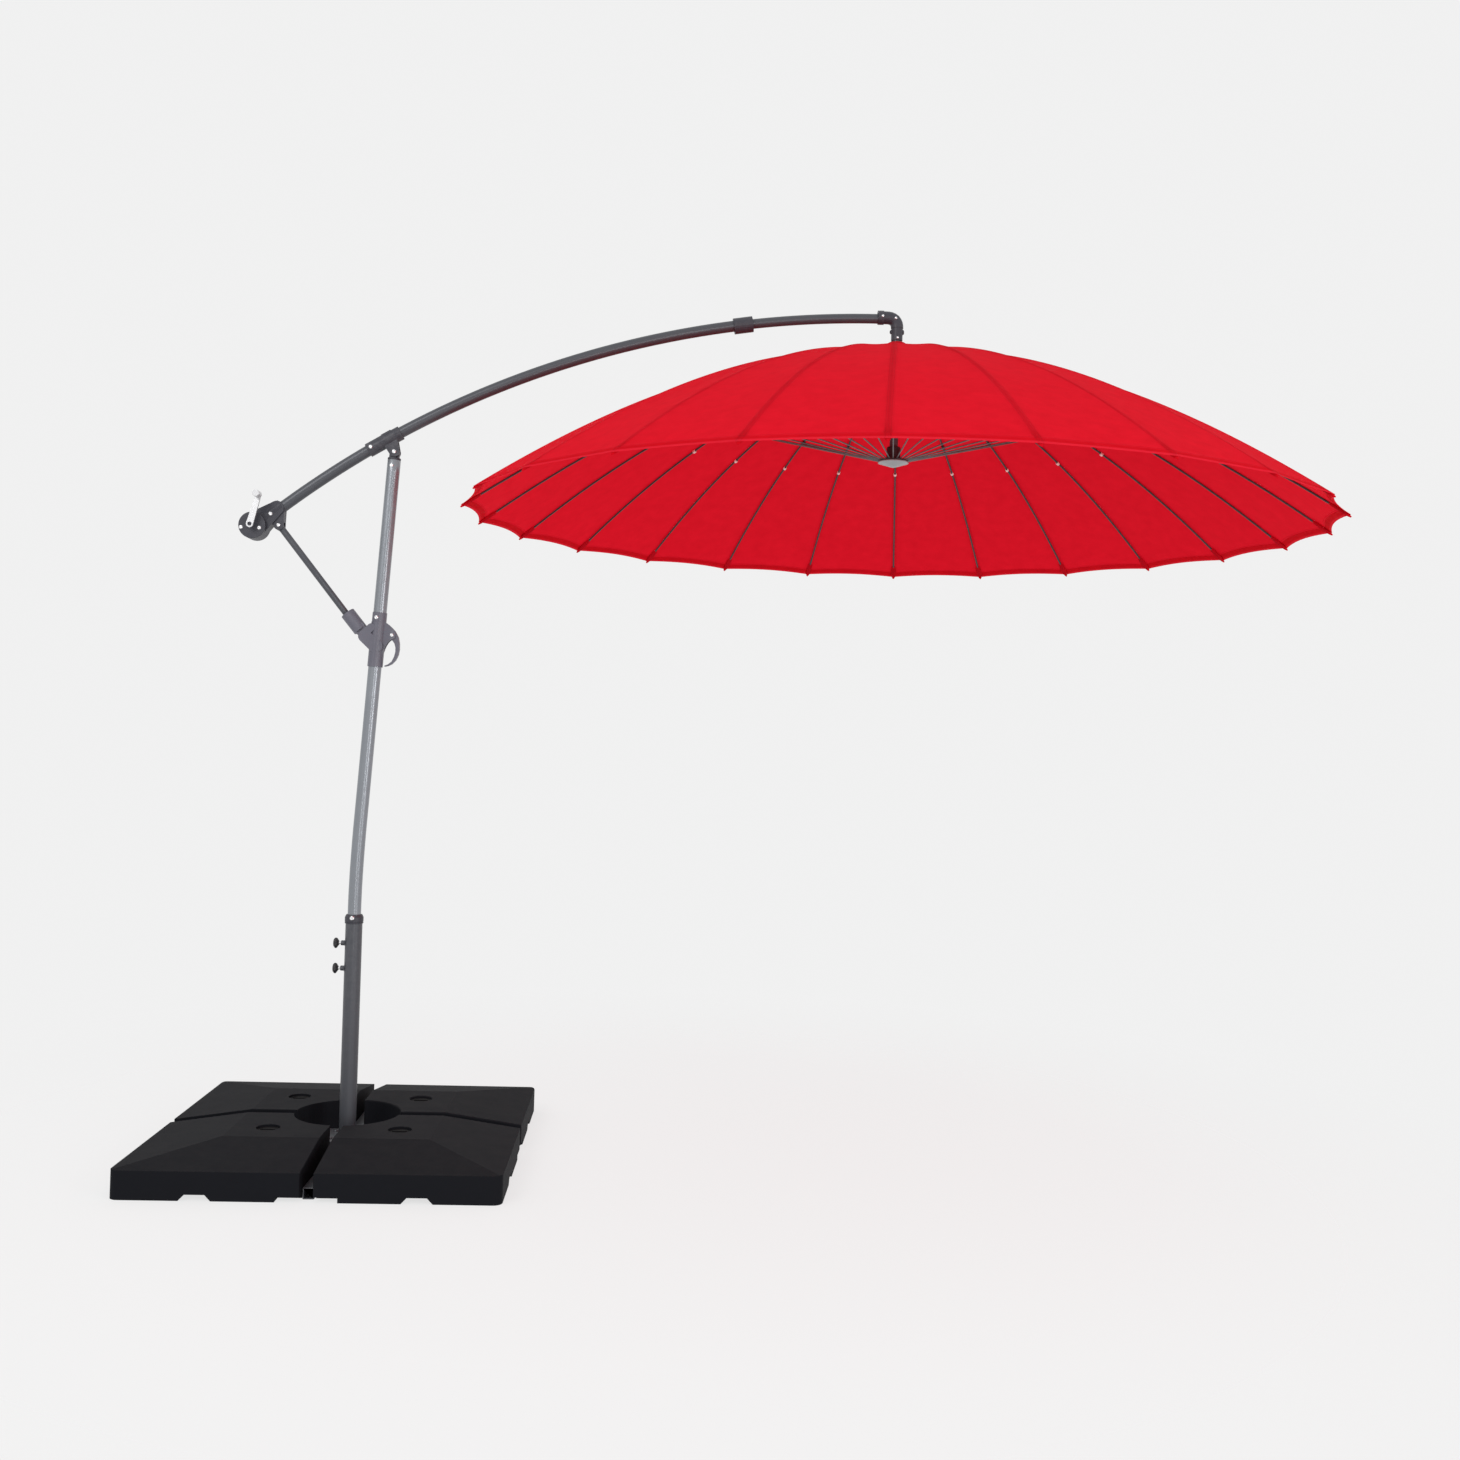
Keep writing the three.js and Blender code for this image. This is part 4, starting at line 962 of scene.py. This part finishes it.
# %% Vent cap
cap_low, cap_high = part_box("canopy_cap")
cap_reach = (cap_high.x - cap_low.x) / 2
cap_height = cap_high.z - cap_low.z
cap_profile = [(0.0134, cap_high.z), (0.0172, cap_high.z - 0.0008)]
for share, fall in ((0.36, 0.06), (0.46, 0.16), (0.56, 0.3), (0.68, 0.5), (0.8, 0.7), (0.9, 0.86)):
    cap_profile.append((cap_reach * share, cap_high.z - cap_height * fall))
cap_profile.append((cap_reach, cap_low.z + 0.0008))
vertices, faces = turned(cap_profile, hub_axis, UP, sides=96)
for v in vertices:
    away = v - hub_axis
    turn = math.atan2(away.y, away.x)
    share = min(1.0, math.hypot(away.x, away.y) / cap_reach)
    v.z -= 0.0009 * share ** 4 * (1 - math.cos(RIBS / 2 * (turn - rib_turns[0])))
vent = add_piece("vent_cap", vertices, faces, "arm", red_cloth, sharp=60)
mark_cloth(vent, [(v.x - hub_axis.x, v.y) for v in vertices])
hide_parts("canopy_cap")

# %% [markdown]
# ## Canopy frame
# Ribs are thin coated wires, swept finely along the frame's own curve. Each carries a pale clip that
# holds the cloth, and a small joint where its stretcher meets it. The stretchers hang on a wire ring
# round the runner, and a pale cap closes the runner's underside.

# %% Ribs, clips and stretcher joints
stretcher_points = points_of("stretchers") - np.array([hub_axis.x, 0, 0])
wire_reach = np.hypot(stretcher_points[:, 0], stretcher_points[:, 1])
joint_reach = wire_reach.max()
joint_height = stretcher_points[wire_reach > joint_reach - 0.002][:, 2].mean()
runner_low, runner_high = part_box("runner_hub")
ring_height = stretcher_points[:, 2].min() + 0.0016
ring_reach = wire_reach.min() + 0.0015


def radial(k, reach, height):
    a = rib_turns[k]
    return hub_axis + Vector((math.cos(a) * reach, math.sin(a) * reach, height))


def under_rib(k, reach, drop):
    """A point a little below a rib's middle, square to the rib."""
    tilt, a = rib_tilt(reach), rib_turns[k]
    square = Vector((math.cos(a) * math.sin(tilt), math.sin(a) * math.sin(tilt), math.cos(tilt)))
    return radial(k, reach, rib_height(reach)) - square * drop


def rib_direction(k, reach):
    tilt, a = rib_tilt(reach), rib_turns[k]
    return Vector((math.cos(a) * math.cos(tilt), math.sin(a) * math.cos(tilt), -math.sin(tilt)))


rib_reaches = np.linspace(rib_profile[0][0], rib_profile[-1][0], 30)
rib_radii = [rib_radius] * 29 + [rib_radius * 0.7]
bore = rib_radius + 0.0001
clip_profile = short_tube(bore, bore + 0.0021, 0.005, 0.0004, 0.0006)
joint_profile = short_tube(bore, bore + 0.0019, 0.009, 0.0006, 0.0008)
clip_reach = 0.6 * tip_reach
meeting_reach = joint_reach + 0.004
for k in range(RIBS):
    body = f"rib_{k:02d}"
    line = [radial(k, r, rib_height(r)) for r in rib_reaches]
    vertices, faces = swept(line, rib_radii, sides=12, side_axis=beside(rib_turns[k]))
    rod = add_piece(f"rib_{k:02d}_wire", vertices, faces, body, rib_dark)
    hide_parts(f"rib_{k:02d}")
    turned_piece(f"cloth_clip_{k:02d}", clip_profile, under_rib(k, clip_reach, 0.0014),
                 rib_direction(k, clip_reach), body, pale_clip, sides=20, closed=True)
    turned_piece(f"rib_joint_{k:02d}", joint_profile, under_rib(k, meeting_reach, 0.0012),
                 rib_direction(k, meeting_reach), body, black_plastic, sides=20, closed=True)
print("ribs", RIBS, "clips at", round(clip_reach, 3))

# %% Stretchers and runner
wire_radius = 0.002
for k in range(RIBS):
    eye = radial(k, ring_reach + 0.0005, ring_height)
    far_end = radial(k, joint_reach - 0.001, joint_height)
    line = [eye.lerp(far_end, t) for t in np.linspace(0, 1, 9)]
    vertices, faces = swept(line, [wire_radius] * 9, sides=10, side_axis=beside(rib_turns[k]))
    wire = add_piece(f"stretcher_{k:02d}", vertices, faces, "runner", wire_grey)
    a = rib_turns[k]
    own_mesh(wire)
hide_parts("stretchers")
turned_piece("runner_ring", arc(0.0017, (ring_reach, ring_height), 0, 330, 12), hub_axis, UP, "runner",
             wire_grey, sides=96, closed=True)

rim_reach = (runner_high.x - runner_low.x) / 2
rim_low = ring_height - 0.0079
cone_top = rim_low + 0.004
body_reach = ring_reach - 0.0018
profile = [(0.0, runner_low.z), (0.006, runner_low.z + 0.0003), (0.02, runner_low.z + 0.0046),
           (rim_reach - 0.004, rim_low - 0.0006), (rim_reach - 0.0008, rim_low + 0.0002),
           (rim_reach, rim_low + 0.0014), (rim_reach, cone_top - 0.0012), (rim_reach - 0.001, cone_top),
           (0.0, cone_top)]
turned_piece("runner_cap", profile, hub_axis, UP, "runner", pale_cap, sides=80)
sleeve_reach = 0.0205
pole_bore = 0.0134
hub_top = ring_height + 0.0016
profile = [(pole_bore, cone_top), (body_reach, cone_top), (body_reach, hub_top - 0.0012),
           (body_reach - 0.0012, hub_top), (sleeve_reach + 0.003, hub_top), (sleeve_reach, hub_top + 0.003),
           (sleeve_reach, runner_high.z - 0.002), (sleeve_reach - 0.002, runner_high.z),
           (pole_bore, runner_high.z)]
hub_piece = turned_piece("runner_body", profile, hub_axis, UP, "runner", black_plastic,
                         closed=True)
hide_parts("runner_hub")
dress("pole", anthracite)
print("runner rim", round(rim_reach, 4))

# %% [markdown]
# ## Stage and light
# A pale floor that melts into an even pale surround, as on a paper sweep. One big soft light stands
# high on the left, a weaker one on the right, and a tall strip beside the camera draws the bright
# line down the tubes. The floor's own glow fades out with the distance from a spot under the arm.

# %% Floor and surround
SURROUND = 0.876
PAPER_GLOW = 0.715
GLOW_X = 0.8
GLOW_FADE = (1.5, 2.9)
floor_mesh = bpy.data.meshes.new("floor")
floor_mesh.from_pydata([(-6, -5, 0), (9, -5, 0), (9, 9, 0), (-6, 9, 0)], [], [(0, 1, 2, 3)])
floor = bpy.data.objects.new("floor", floor_mesh)
floor.location.z = -0.0004
bpy.context.collection.objects.link(floor)
material, tree, shader = material_of("paper_floor")
shader.inputs["Base Color"].default_value = (0.16, 0.16, 0.16, 1)
shader.inputs["Roughness"].default_value = 0.9
shader.inputs["Specular IOR Level"].default_value = 0.0
spot = node(tree, "ShaderNodeNewGeometry")
apart = node(tree, "ShaderNodeSeparateXYZ")
tree.links.new(spot.outputs["Position"], apart.inputs[0])
off_centre = math_node(tree, "SUBTRACT", apart.outputs[0], GLOW_X)
squared = math_node(tree, "ADD", math_node(tree, "MULTIPLY", off_centre, off_centre),
                    math_node(tree, "MULTIPLY", apart.outputs[1], apart.outputs[1]))
distance = math_node(tree, "SQRT", squared)
fade = spread_of(tree, distance, *GLOW_FADE)
paper_glow = node(tree, "ShaderNodeEmission", Strength=PAPER_GLOW)
paper = node(tree, "ShaderNodeAddShader")
tree.links.new(shader.outputs[0], paper.inputs[0])
tree.links.new(paper_glow.outputs[0], paper.inputs[1])
open_air = node(tree, "ShaderNodeBsdfTransparent")
blend = node(tree, "ShaderNodeMixShader")
tree.links.new(fade, blend.inputs[0])
tree.links.new(paper.outputs[0], blend.inputs[1])
tree.links.new(open_air.outputs[0], blend.inputs[2])
tree.links.new(blend.outputs[0], tree.nodes["Material Output"].inputs["Surface"])
floor_mesh.materials.append(material)

world = bpy.data.worlds.new("surround")
world.use_nodes = True
world.node_tree.nodes["Background"].inputs["Color"].default_value = (SURROUND, SURROUND, SURROUND, 1)
world.node_tree.nodes["Background"].inputs["Strength"].default_value = 1.0
bpy.context.scene.world = world
print("surround", SURROUND)

# %% Lights
def soft_light(name, place, target, size, power):
    data = bpy.data.lights.new(name, "AREA")
    data.shape = "RECTANGLE"
    data.size, data.size_y = size
    data.energy = power
    obj = bpy.data.objects.new(name, data)
    obj.location = place
    obj.rotation_euler = (Vector(target) - Vector(place)).to_track_quat("-Z", "Y").to_euler()
    bpy.context.collection.objects.link(obj)


soft_light("key", (-2.4, -4.6, 4.4), (0.8, 0, 1.6), (2.6, 2.6), 105)
soft_light("fill", (4.4, -4.0, 1.7), (0.2, 0, 1.1), (0.9, 2.4), 62)
soft_light("strip", (1.4, -5.4, 1.4), (0.1, 0, 1.3), (0.5, 3.0), 30)
bpy.context.scene.view_settings.view_transform = "Standard"
print("lights", len(bpy.data.lights))
